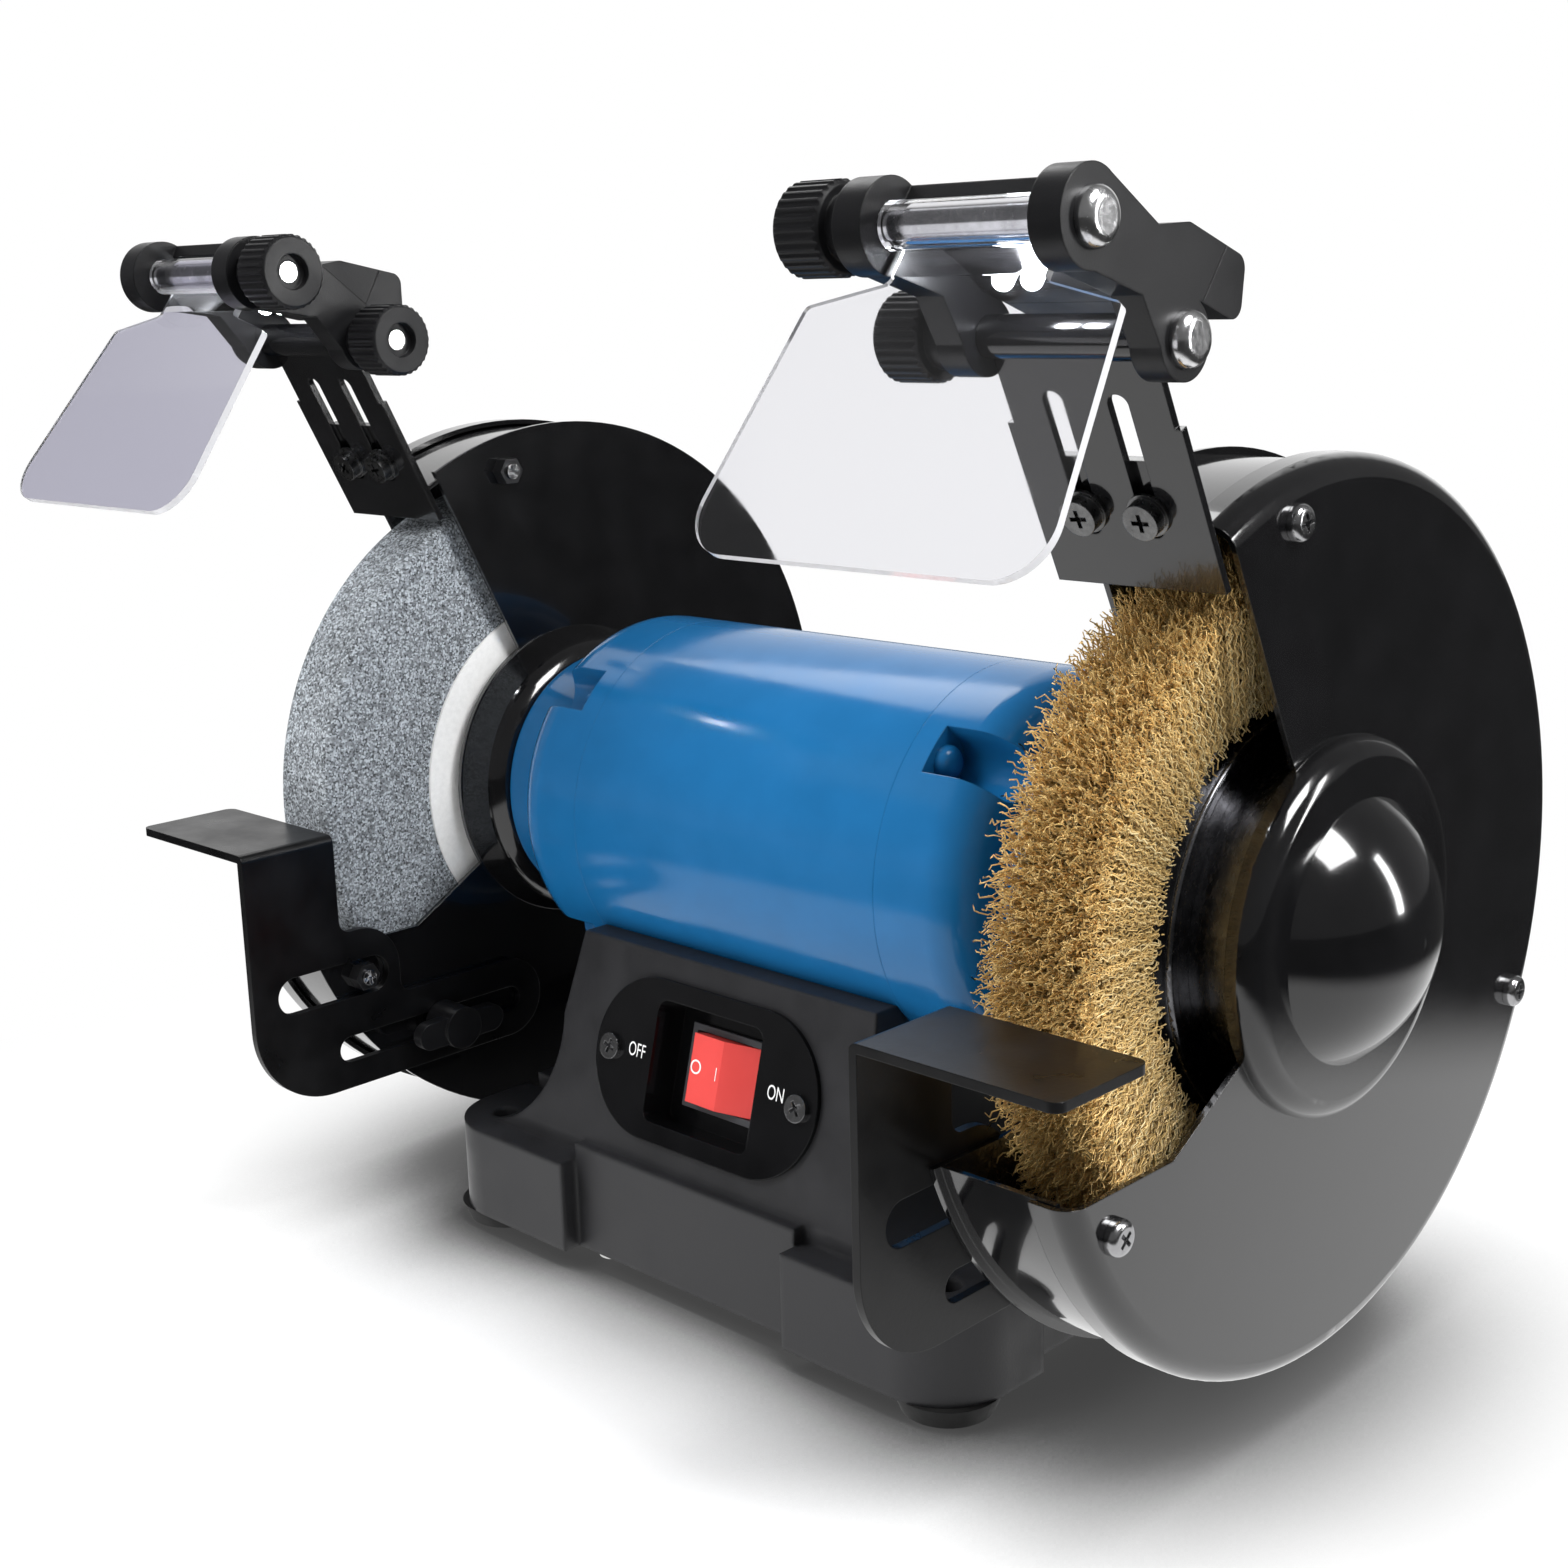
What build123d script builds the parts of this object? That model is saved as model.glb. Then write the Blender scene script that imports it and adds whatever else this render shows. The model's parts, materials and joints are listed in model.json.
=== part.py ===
from build123d import *
from math import cos, radians, sin, sqrt, tan
import os

# Bench grinder with a grinding wheel on its left and a wire brush on its right.
# Millimetres. X runs along the shaft towards the brush, Y points back, Z points up.
# The origin lies on the bench, below the middle of the shaft.

# Shared clearances
slip = 0.3
running = 0.05
seat = 0.02

# Shaft and wheels
shaft_height = 133.8
wheel_radius = 100.0
wheel_width = 25.0
wheel_middle = 146.7
wheel_edge_round = 2.5
spindle_radius = 8.0
journal_radius = 8.5
rotor_seat_radius = 12.5
blotter_radius = 59.0
blotter_thickness = 0.8
wheel_flange_radius = 35.0
flange_thickness = 5.0
flange_shoulder_inset = 2.0
nut_across_flats = 24.0
nut_height = 13.0
thread_stub = 3.0
brush_root_width = 12.0
brush_tip_width = 31.0
brush_disc_radius = 60.0
brush_disc_sheet = 1.5
brush_flange_radius = 45.0
bead_inner_radius = 50.5
bead_outer_radius = 54.5
bead_height = 1.4
bead_round = 1.1

# Motor
motor_radius = 57.3
motor_wall = 2.5
bell_length = 32.0
bell_shoulder_depth = 16.0
bell_edge_round = 14.0
bell_wall = 4.0
bell_bore_gap = 1.0
neck_radius = 42.5
neck_length = 18.0
neck_end_wall = 8.0
stator_inset = 32.0
stator_bore_radius = 31.0
air_gap = 0.6
winding_inner_radius = 34.0
winding_outer_radius = 45.5
winding_overhang = 18.0
winding_round = 4.5
tie_bolt_circle = 50.2
tie_bolt_radius = 2.5
tie_head_radius = 5.0
tie_head_height = 4.0
tie_head_round = 3.4
tie_pocket_half = 7.6
tie_pocket_wall = 3.0
tie_pocket_length = 24.3
bearing_outer_radius = 20.0
bearing_ring = 3.5
bearing_width = 12.0
bearing_inset = 20.0
bearing_ball_count = 9

# Guards
guard_plate_reach = 18.7
guard_sheet = 1.6
guard_plate_radius = 119.3
band_radius = 117.0
band_end_reach = 16.3
cover_radius = 119.2
cover_face_reach = 22.3
cover_edge_round = 6.0
cover_skirt = 12.0
shoulder_radius = 49.5
shoulder_height = 6.5
shoulder_round = 6.0
dome_height = 24.0
dome_radius = 42.4
collar_height = 16.0
collar_base_radius = 50.5
collar_top_radius = 45.5
collar_round = 8.0
collar_hole_radius = 26.0
cut_lean = 26.5
lower_cut_angle = 29.5
ledge_drop = 40.5

# Guard fasteners
m5_radius = 2.5
m5_head_radius = 4.6
m5_head_height = 3.2
m5_head_round = 1.9
m5_nut_flats = 8.0
m5_nut_height = 4.4
screw_tip = 1.0
cover_screw_circle = 108.0
top_screw_angle = 103.5
rear_screw_angle = -23.3
rest_nut_drop = 51.3
guard_mount_circle = 33.0
guard_mount_count = 3

# Tool rests
rest_sheet = 2.5
rest_gap = 0.1
rest_front_y = -136.4
rest_table_depth = 33.0
rest_table_top = 131.0
rest_table_reach = 37.3
rest_bottom_z = 46.5
rest_bottom_round = 27.0
rest_arm_end_y = -24.0
rest_arm_top_z = 73.5
rest_lobe_back_y = -81.5
rest_lobe_top_z = 98.5
rest_lobe_round = 15.0
rest_step_round = 4.0
rest_table_corner = 3.0
nut_slot_front_y = -127.5
nut_slot_back_y = -86.0
nut_slot_height = 12.0
bolt_slot_front_y = -106.5
bolt_slot_back_y = -33.0
wing_bolt_y = -66.0
wing_bolt_z = 59.5
wing_bolt_radius = 4.0
wing_boss_radius = 7.0
wing_boss_length = 12.0
wing_span = 34.0
wing_width = 9.0
wing_thickness = 4.0
wing_inset = 1.0

# Shield brackets
bracket_sheet = 2.0
bracket_front = 9.2
bracket_bottom_r = 107.0
bracket_notch_r = 149.5
bracket_half_width = 23.5
bracket_neck_half = 21.7
bracket_slot_pitch = 17.2
bracket_slot_below_screw = 6.5
bracket_slot_top_r = 158.0
bracket_slot_width = 5.6
bracket_screw_drop = 1.0
tab_top_r = 140.0
tab_half_width = 14.0
barrel_r = 171.0
barrel_radius = 5.0
hinge_bolt_radius = 3.0
washer_radius = 5.5
washer_thickness = 1.0

# Lamps and eye shields
lamp_reach = 41.0
right_lamp_angle = 37.0
left_lamp_angle = 29.5
right_shield_angle = 55.0
left_shield_angle = 52.0
ear_thickness = 8.0
ear_upper_radius = 10.5
ear_lower_radius = 9.0
ear_waist_reach = 18.0
ear_waist_drop = 2.0
ear_back_reach = 22.0
ear_back_rise = 12.4
ear_throat_reach = 4.5
ear_throat_drop = 7.2
web_start_reach = 8.0
web_rise = 6.8
box_back_reach = 8.0
box_back_rise = 26.3
box_tail_reach = 15.0
box_tail_rise = 14.0
box_top_reach = 13.5
box_top_rise = 19.5
box_corner = 3.5
door_split_reach = -0.5
led_radius = 2.5
led_height = 7.2
led_round = 2.3
led_pitch = 7.8
led_offset = -3.3
led_reach = 18.0
bolt_head_radius = 6.3
bolt_head_height = 3.6
bolt_head_round = 2.9
knob_radius = 10.5
knob_length = 13.5
knob_edge = 1.0
knob_collar_radius = 7.5
knob_collar_length = 4.5
knob_dimple_radius = 5.0
knob_dimple_depth = 2.5
sleeve_radius = 5.3
shield_sheet = 2.0
shield_drop = 4.0
shield_lug_half = 20.5
shield_lug_length = 11.5
shield_top_half = 41.8
shield_shoulder = 17.0
shield_bottom_half = 49.0
shield_length = 78.0
shield_corner = 12.0

# Base
foot_height = 6.0
foot_x = 94.0
foot_y = 66.0
foot_radius = 15.5
foot_bottom_radius = 13.0
foot_stem_radius = 6.5
foot_stem_length = 10.0
bench_bolt_radius = 4.25
plinth_half_x = 109.6
plinth_half_y = 82.0
plinth_corner = 22.0
block_top = 35.0
panel_step = 6.0
front_panel_half = 47.0
side_panel_half = 44.0
panel_top = 40.0
base_wall = 5.0
boss_radius = 10.0
pedestal_top = 101.0
pedestal_top_half = 61.0
pedestal_waist_half = 65.0
pedestal_waist_z = 75.0
pedestal_foot_half = 92.0
pedestal_flare_x = 71.5
pedestal_flare_z = 47.5
panel_tilt = 15.0
bottom_sheet = 1.5
plate_screw_x = 40.0
plate_screw_boss = 6.0
plate_screw_length = 10.0

# Switch
switch_z = 70.3
switch_y = -63.8
plate_end_margin = 7.0
plate_height = 49.0
plate_thickness = 1.5
plate_screw_pitch = 79.0
plate_head_radius = 4.0
plate_head_height = 1.6
panel_cut = 15.0
pocket_length = 44.0
pocket_height = 37.0
pocket_corner = 5.0
pocket_depth = 10.0
bezel_length = 31.0
bezel_height = 25.5
bezel_thickness = 2.0
bezel_rim = 2.0
rocker_cavity = 11.5
switch_depth = 20.0
switch_side_wall = 2.0
rocker_half = 12.4
rocker_foot_half = 8.7
rocker_facet_drop = 3.0
rocker_crown = 8.0
rocker_skirt = 3.5
rocker_tilt = 12.0
rocker_pivot_depth = 4.0
rocker_pin_radius = 1.2
rocker_pin_length = 1.0
terminal_pitch = 14.0
terminal_length = 8.0
terminal_width = 6.3
terminal_sheet = 0.8

# Base fittings
capacitor_radius = 15.0
capacitor_length = 70.0
capacitor_y = 25.0
capacitor_round = 2.0
clip_sheet = 1.5
clip_width = 14.0
clip_foot = 14.0
gland_x = 0.0
gland_z = 23.0
gland_bore = 4.2
gland_body_radius = 7.5
gland_flange_radius = 10.5
gland_flange = 4.0
gland_tail = 12.0

# Places worked out from the sizes above
guard_plate_x = wheel_middle - guard_plate_reach
band_end_x = wheel_middle + band_end_reach
cover_face_x = wheel_middle + cover_face_reach
rest_table_outer_x = wheel_middle + rest_table_reach
flange_shoulder_x = guard_plate_x - flange_shoulder_inset
neck_end_x = guard_plate_x - collar_height
bell_shoulder_x = neck_end_x - neck_length
shell_half_length = bell_shoulder_x - bell_length
stator_half_length = shell_half_length - stator_inset
tie_pocket_x = bell_shoulder_x - tie_pocket_length
bearing_inner_x = neck_end_x - bearing_inset
wheel_inner_x = wheel_middle - wheel_width / 2
wheel_outer_x = wheel_middle + wheel_width / 2
nut_seat_x = wheel_outer_x + blotter_thickness + flange_thickness
shaft_end_x = nut_seat_x + nut_height + thread_stub
bearing_outer_x = bearing_inner_x + bearing_width
bracket_back = bracket_front - bracket_sheet
tab_front = bracket_back - rest_gap
bracket_screw_r = (band_radius + tab_top_r) / 2 - bracket_screw_drop
bracket_slot_bottom_r = bracket_screw_r - bracket_slot_below_screw
barrel_half = bracket_neck_half
ear_inner_x = wheel_middle - barrel_half - slip
ear_outer_x = wheel_middle + barrel_half + slip
collar_inner_x = ear_inner_x - ear_thickness - slip
knob_outer_x = collar_inner_x - knob_collar_length - knob_length
rest_plate_x = guard_plate_x - rest_gap - rest_sheet
rest_table_back_y = rest_front_y + rest_table_depth
rest_screw_y = -sqrt(cover_screw_circle ** 2 - rest_nut_drop ** 2)
lean = radians(cut_lean)
plate_length = plate_screw_pitch + 2 * plate_end_margin
front_panel_y = plinth_half_y - panel_step
side_panel_x = plinth_half_x - panel_step
cavity_half_x = side_panel_x - base_wall
cavity_half_y = front_panel_y - base_wall
deck_z = foot_height + bottom_sheet
cover_screw_places = [(rest_screw_y, -rest_nut_drop)]
for screw_angle in (top_screw_angle, rear_screw_angle):
    screw_turn = radians(screw_angle)
    cover_screw_places.append((cover_screw_circle * cos(screw_turn), cover_screw_circle * sin(screw_turn)))
foot_places = [(x, y) for x in (-foot_x, foot_x) for y in (-foot_y, foot_y)]
plate_screw_places = [(x, y) for x in (-plate_screw_x, plate_screw_x) for y in (-1, 1)]


def along_x(start, end, radius, y=0.0, z=shaft_height):
    """Cylinder along X between two stations."""
    base = (Align.CENTER, Align.CENTER, Align.MIN)
    return Pos(start, y, z) * Rot(0, 90, 0) * Cylinder(radius, end - start, align=base)


def tube_x(start, end, outer, inner, y=0.0, z=shaft_height):
    """Round tube along X between two stations."""
    return along_x(start, end, outer, y, z) - along_x(start, end, inner, y, z)


def upright(radius, bottom, top, x=0.0, y=0.0):
    """Cylinder along Z."""
    base = (Align.CENTER, Align.CENTER, Align.MIN)
    return Pos(x, y, bottom) * Cylinder(radius, top - bottom, align=base)


def hexagon_x(start, end, flats, y=0.0, z=shaft_height):
    """Hexagonal prism along X."""
    outline = RegularPolygon(flats / 2, 6, major_radius=False)
    return extrude(side_plane(start, y, z) * outline, end - start)


def side_plane(x, y=0.0, z=shaft_height):
    """Plane across the shaft: local x runs along Y and local y along Z."""
    return Plane(origin=(x, y, z), x_dir=(0, 1, 0), z_dir=(1, 0, 0))


def revolved(outline):
    """Solid of revolution about the shaft from a closed outline drawn in x and radius."""
    profile = Plane.XZ * make_face(outline)
    return Pos(0, 0, shaft_height) * revolve(profile, Axis.X)


def other_side(piece):
    """The same piece on the left of the machine."""
    return mirror(piece, about=Plane.YZ)


def both_sides(piece):
    """A piece and its mirror image as separate solids."""
    return separate([piece, other_side(piece)])


def separate(pieces):
    """Group of solids that stay apart."""
    solids = [solid for piece in pieces for solid in piece.solids()]
    return Compound(children=solids)


def pan_screw_x(tip_x, head_x, y, z):
    """Pan head screw along X, with its head beyond head_x."""
    shank = along_x(tip_x, head_x, m5_radius, y, z)
    head = along_x(head_x, head_x + m5_head_height, m5_head_radius, y, z)
    return shank + fillet(head.faces().sort_by(Axis.X)[-1].edges(), m5_head_round)


# Rotating group

def shaft():
    middle = along_x(-bearing_inner_x, bearing_inner_x, rotor_seat_radius)
    journals = along_x(-flange_shoulder_x, flange_shoulder_x, journal_radius)
    spindles = along_x(-shaft_end_x, shaft_end_x, spindle_radius)
    return middle + journals + spindles


def rotor_core():
    outer = stator_bore_radius - air_gap
    return tube_x(-stator_half_length, stator_half_length, outer, rotor_seat_radius + seat)


def grinding_wheel():
    disc = along_x(wheel_inner_x, wheel_outer_x, wheel_radius)
    disc = fillet(disc.edges(), wheel_edge_round)
    return other_side(disc - along_x(wheel_inner_x, wheel_outer_x, spindle_radius + seat))


def wheel_blotters():
    inner = tube_x(wheel_inner_x - blotter_thickness, wheel_inner_x, blotter_radius, spindle_radius + seat)
    outer = tube_x(wheel_outer_x, wheel_outer_x + blotter_thickness, blotter_radius, spindle_radius + seat)
    return separate([other_side(inner), other_side(outer)])


def wheel_flanges():
    bore = spindle_radius + seat
    inner = tube_x(flange_shoulder_x, wheel_inner_x - blotter_thickness, wheel_flange_radius, bore)
    outer = tube_x(wheel_outer_x + blotter_thickness, nut_seat_x, wheel_flange_radius, bore)
    return separate([other_side(inner), other_side(outer)])


def wire_brush():
    root = brush_root_width / 2
    tip = brush_tip_width / 2
    bore = spindle_radius + seat
    rim = wheel_radius - wheel_edge_round
    points = [
        (wheel_middle - root, bore),
        (wheel_middle - root, brush_disc_radius),
        (wheel_middle - tip, rim),
        (wheel_middle, wheel_radius),
        (wheel_middle + tip, rim),
        (wheel_middle + root, brush_disc_radius),
        (wheel_middle + root, bore),
    ]
    return revolved(Polyline(*points, close=True))


def brush_discs():
    root = brush_root_width / 2
    bore = spindle_radius + seat
    inner_x = wheel_middle - root - brush_disc_sheet
    inner = tube_x(inner_x, inner_x + brush_disc_sheet, brush_disc_radius, bore)
    outer_x = wheel_middle + root + brush_disc_sheet
    outer = tube_x(wheel_middle + root, outer_x, brush_disc_radius, bore)
    bead = tube_x(outer_x, outer_x + bead_height, bead_outer_radius, bead_inner_radius)
    bead = fillet(bead.faces().sort_by(Axis.X)[-1].edges(), bead_round)
    return separate([inner, outer + bead])


def brush_flanges():
    root = brush_root_width / 2 + brush_disc_sheet
    bore = spindle_radius + seat
    inner = tube_x(flange_shoulder_x, wheel_middle - root, wheel_flange_radius, bore)
    outer = tube_x(wheel_middle + root, nut_seat_x, brush_flange_radius, bore)
    return separate([inner, outer])


def spindle_nuts():
    nut = hexagon_x(nut_seat_x, nut_seat_x + nut_height, nut_across_flats)
    return both_sides(nut - along_x(nut_seat_x, nut_seat_x + nut_height, spindle_radius + seat))


def bearing_inner_rings():
    inner = journal_radius + seat
    return both_sides(tube_x(bearing_inner_x, bearing_outer_x, inner + bearing_ring, inner))


def bearing_balls():
    inside = journal_radius + seat + bearing_ring
    outside = bearing_outer_radius - bearing_ring
    ball_radius = (outside - inside) / 2 - running
    ball_x = (bearing_inner_x + bearing_outer_x) / 2
    ball_circle = (outside + inside) / 2
    balls = []
    for number in range(bearing_ball_count):
        turn = radians(360 * number / bearing_ball_count)
        place = Pos(ball_x, ball_circle * cos(turn), shaft_height + ball_circle * sin(turn))
        balls.append(place * Sphere(ball_radius))
    return separate(balls + [other_side(ball) for ball in balls])


# Motor

def motor_shell():
    return tube_x(-shell_half_length, shell_half_length, motor_radius, motor_radius - motor_wall)


def tie_places():
    """Places of the four long bolts that draw the motor together."""
    reach = tie_bolt_circle * sqrt(0.5)
    return [(y, shaft_height + z) for y in (-reach, reach) for z in (-reach, reach)]


def stator_core():
    outer = motor_radius - motor_wall - seat
    core = tube_x(-stator_half_length, stator_half_length, outer, stator_bore_radius)
    for y, z in tie_places():
        core -= along_x(-stator_half_length, stator_half_length, tie_bolt_radius + slip, y, z)
    return core


def stator_windings():
    start = stator_half_length
    ring = tube_x(start, start + winding_overhang, winding_outer_radius, winding_inner_radius)
    return both_sides(fillet(ring.faces().sort_by(Axis.X)[-1].edges(), winding_round))


def tie_groove(start, end, half_width, y, z):
    """Groove along X around a long bolt, open away from the shaft."""
    plane = Plane(origin=(start, y, z), x_dir=(0, y, z - shaft_height), z_dir=(1, 0, 0))
    outline = Circle(half_width) + Pos(motor_radius / 2, 0) * Rectangle(motor_radius, 2 * half_width)
    return extrude(plane * outline, end - start)


def end_bell():
    cup = along_x(shell_half_length, bell_shoulder_x, motor_radius)
    cup = fillet(cup.faces().sort_by(Axis.X)[-1].edges(), bell_edge_round)
    shoulder_start = bell_shoulder_x - bell_shoulder_depth
    bell = cup + along_x(shoulder_start, neck_end_x, neck_radius)
    bell -= along_x(shell_half_length, shoulder_start, motor_radius - bell_wall)
    bell -= tube_x(
        shoulder_start,
        neck_end_x - neck_end_wall,
        neck_radius - bell_wall,
        bearing_outer_radius + bell_wall,
    )
    bell -= along_x(shoulder_start, bearing_outer_x, bearing_outer_radius + seat)
    bell -= along_x(bearing_outer_x, neck_end_x, journal_radius + bell_bore_gap)
    for y, z in tie_places():
        liner = tie_groove(shell_half_length, bell_shoulder_x, tie_pocket_half + tie_pocket_wall, y, z)
        bell += liner & cup
    for y, z in tie_places():
        bell -= tie_groove(tie_pocket_x, bell_shoulder_x, tie_pocket_half, y, z)
        bell -= along_x(shell_half_length, tie_pocket_x, tie_bolt_radius + slip, y, z)
    for y, z in guard_mount_places():
        bell -= along_x(neck_end_x - neck_end_wall, neck_end_x, m5_radius + seat, y, z)
    return bell


def motor_tie_bolts():
    pieces = []
    for y, z in tie_places():
        bolt = along_x(-tie_pocket_x - tie_head_height - thread_stub, tie_pocket_x, tie_bolt_radius, y, z)
        head = along_x(tie_pocket_x, tie_pocket_x + tie_head_height, tie_head_radius, y, z)
        head = fillet(head.faces().sort_by(Axis.X)[-1].edges(), tie_head_round)
        nut = hexagon_x(-tie_pocket_x - tie_head_height, -tie_pocket_x, m5_nut_flats, y, z)
        nut -= along_x(-tie_pocket_x - tie_head_height, -tie_pocket_x, tie_bolt_radius + seat, y, z)
        pieces += [bolt + head, nut]
    return separate(pieces)


def bearing_outer_rings():
    ring = tube_x(bearing_inner_x, bearing_outer_x, bearing_outer_radius, bearing_outer_radius - bearing_ring)
    return both_sides(ring)


# Guards

def opening_outline(forward):
    """Front opening of a guard, seen along the shaft; forward moves its upper edge to the front."""
    reach = 2 * guard_plate_radius
    start = (-forward * cos(lean), -forward * sin(lean))
    upper_end = (start[0] - reach * sin(lean), start[1] + reach * cos(lean))
    ledge = (-ledge_drop / tan(radians(lower_cut_angle)), -ledge_drop)
    points = [(0, 0), start, upper_end, (-reach, reach), (-reach, -ledge_drop), ledge]
    return make_face(Polyline(*points, close=True))


def opening_prism(keep_radius, forward=seat):
    """Solid cut by the front opening, outside the middle that stays whole."""
    depth = cover_face_x - guard_plate_x + 2 * cover_skirt
    start = guard_plate_x - cover_skirt
    prism = extrude(side_plane(start) * opening_outline(forward), depth)
    return prism - along_x(start, start + depth, keep_radius)


def bracket_plane(offset=0.0):
    """Plane of the shield bracket: local x runs along X, local y outwards from the shaft."""
    plane = Plane(origin=(0, 0, shaft_height), x_dir=(1, 0, 0), z_dir=(0, -cos(lean), -sin(lean)))
    return plane.offset(offset)


def on_bracket(outward, offset):
    """Y and Z of a point given by its distances along and in front of the bracket's plane."""
    y = -outward * sin(lean) - offset * cos(lean)
    return y, shaft_height + outward * cos(lean) - offset * sin(lean)


def guard_mount_places():
    places = []
    for number in range(guard_mount_count):
        turn = radians(90 + 360 * number / guard_mount_count)
        places.append((guard_mount_circle * cos(turn), shaft_height + guard_mount_circle * sin(turn)))
    return places


def guard_collar():
    """Pressed collar between the guard's inner plate and the motor's neck."""
    plate_face_x = guard_plate_x + guard_sheet
    outer = [(plate_face_x, 0), (plate_face_x, collar_base_radius)]
    outer += [(neck_end_x, collar_top_radius), (neck_end_x, 0)]
    inner_x = neck_end_x + guard_sheet
    inner = [(plate_face_x, 0), (plate_face_x, collar_base_radius - guard_sheet)]
    inner += [(inner_x, collar_top_radius - guard_sheet), (inner_x, 0)]
    inner_round = collar_round - guard_sheet
    collar = revolved(FilletPolyline(*outer, radius=[0, 0, collar_round, 0], close=True))
    collar -= revolved(FilletPolyline(*inner, radius=[0, 0, inner_round, 0], close=True))
    collar -= along_x(neck_end_x, inner_x, collar_hole_radius)
    for y, z in guard_mount_places():
        collar -= along_x(neck_end_x, inner_x, m5_radius + seat, y, z)
    return collar


def guard_shell():
    inside = guard_plate_x + guard_sheet
    plate = along_x(guard_plate_x, inside, guard_plate_radius)
    plate -= along_x(guard_plate_x, inside, collar_base_radius - guard_sheet)
    plate -= opening_prism(collar_base_radius)
    band = tube_x(guard_plate_x, band_end_x, band_radius, band_radius - guard_sheet)
    band -= opening_prism(collar_base_radius, tab_front)
    tab_bottom = band_radius - guard_sheet
    tab_middle = Pos(wheel_middle, (tab_bottom + tab_top_r) / 2)
    outline = tab_middle * Rectangle(2 * tab_half_width, tab_top_r - tab_bottom)
    tab = extrude(bracket_plane(tab_front - bracket_sheet) * outline, bracket_sheet)
    for x in bracket_slot_places():
        hole = Pos(x, bracket_screw_r) * Circle(m5_radius + seat)
        tab -= extrude(bracket_plane(tab_front - bracket_sheet) * hole, bracket_sheet)
    shell = plate + band + tab + guard_collar()
    for y, z in cover_screw_places:
        shell -= along_x(guard_plate_x, inside, m5_radius + seat, y, shaft_height + z)
    shell -= along_x(guard_plate_x, inside, wing_bolt_radius + running, wing_bolt_y, wing_bolt_z)
    return shell


def cover_body(inset):
    """Outer form of the guard's cover, drawn in by inset."""
    start = cover_face_x - cover_skirt
    face = cover_face_x - inset
    crest = face + shoulder_height
    rim = cover_radius - inset
    shoulder = shoulder_radius - inset
    dome = dome_radius - inset
    dome_middle = cover_face_x + dome_height - dome_radius
    dome_foot = sqrt(dome ** 2 - (crest - dome_middle) ** 2)
    steps = FilletPolyline(
        (start, 0),
        (start, rim),
        (face, rim),
        (face, shoulder),
        (crest, shoulder),
        (crest, dome_foot),
        radius=[0, cover_edge_round - inset, 0, shoulder_round - inset],
    )
    half_way = dome * sqrt(0.5)
    cap = ThreePointArc((crest, dome_foot), (dome_middle + half_way, half_way), (dome_middle + dome, 0))
    axis_line = Line((dome_middle + dome, 0), (start, 0))
    profile = Plane.XZ * make_face([steps, cap, axis_line])
    return Pos(0, 0, shaft_height) * revolve(profile, Axis.X)


def guard_cover():
    cover = cover_body(0.0) - cover_body(guard_sheet)
    cover -= opening_prism(shoulder_radius)
    for y, z in cover_screw_places:
        cover -= along_x(cover_face_x - guard_sheet, cover_face_x, m5_radius + seat, y, shaft_height + z)
    return cover


def guard_cover_screws():
    tip = guard_plate_x - m5_nut_height - screw_tip
    screws = [pan_screw_x(tip, cover_face_x, y, shaft_height + z) for y, z in cover_screw_places]
    return separate(screws + [other_side(screw) for screw in screws])


def guard_cover_nuts():
    nuts = []
    for y, z in cover_screw_places:
        nut = hexagon_x(guard_plate_x - m5_nut_height, guard_plate_x, m5_nut_flats, y, shaft_height + z)
        hole = along_x(guard_plate_x - m5_nut_height, guard_plate_x, m5_radius + seat, y, shaft_height + z)
        nuts.append(nut - hole)
    return separate(nuts + [other_side(nut) for nut in nuts])


def guard_mount_screws():
    tip = neck_end_x - neck_end_wall + screw_tip
    screws = [pan_screw_x(tip, neck_end_x + guard_sheet, y, z) for y, z in guard_mount_places()]
    return separate(screws + [other_side(screw) for screw in screws])


# Tool rests

def tool_rest():
    points = [
        (rest_front_y, rest_table_top),
        (rest_front_y, rest_bottom_z),
        (rest_arm_end_y, rest_bottom_z),
        (rest_arm_end_y, rest_arm_top_z),
        (rest_lobe_back_y, rest_arm_top_z),
        (rest_lobe_back_y, rest_lobe_top_z),
        (rest_table_back_y, rest_lobe_top_z),
        (rest_table_back_y, rest_table_top),
    ]
    arm_round = (rest_arm_top_z - rest_bottom_z) / 2 - running
    radii = [0, rest_bottom_round, arm_round, arm_round, rest_step_round, rest_lobe_round, rest_step_round, 0]
    plane = side_plane(rest_plate_x, 0, 0)
    plate = extrude(plane * make_face(FilletPolyline(*points, radius=radii, close=True)), rest_sheet)
    nut_slot_z = shaft_height - rest_nut_drop
    plate -= slot_along_y(nut_slot_front_y, nut_slot_back_y, nut_slot_height, nut_slot_z)
    bolt_slot_height = 2 * (wing_bolt_radius + slip)
    plate -= slot_along_y(bolt_slot_front_y, bolt_slot_back_y, bolt_slot_height, wing_bolt_z)
    table_length = rest_table_outer_x - rest_plate_x
    corner = (Align.MIN, Align.MIN, Align.MAX)
    table = Pos(rest_plate_x, rest_front_y, rest_table_top) * Box(
        table_length, rest_table_depth, rest_sheet, align=corner
    )
    outer_edges = table.edges().filter_by(Axis.Z).group_by(Axis.X)[-1]
    rest = plate + fillet(outer_edges, rest_table_corner)
    bend = rest.edges().filter_by(Axis.Y).group_by(Axis.Z)[-1].sort_by(Axis.X)[0]
    return fillet(bend, rest_sheet)


def slot_along_y(front, back, height, z):
    """Cutter for a slot in the tool rest's upright plate."""
    outline = Pos((front + back) / 2, z) * SlotOverall(back - front, height)
    return extrude(side_plane(rest_plate_x, 0, 0) * outline, rest_sheet)


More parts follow.
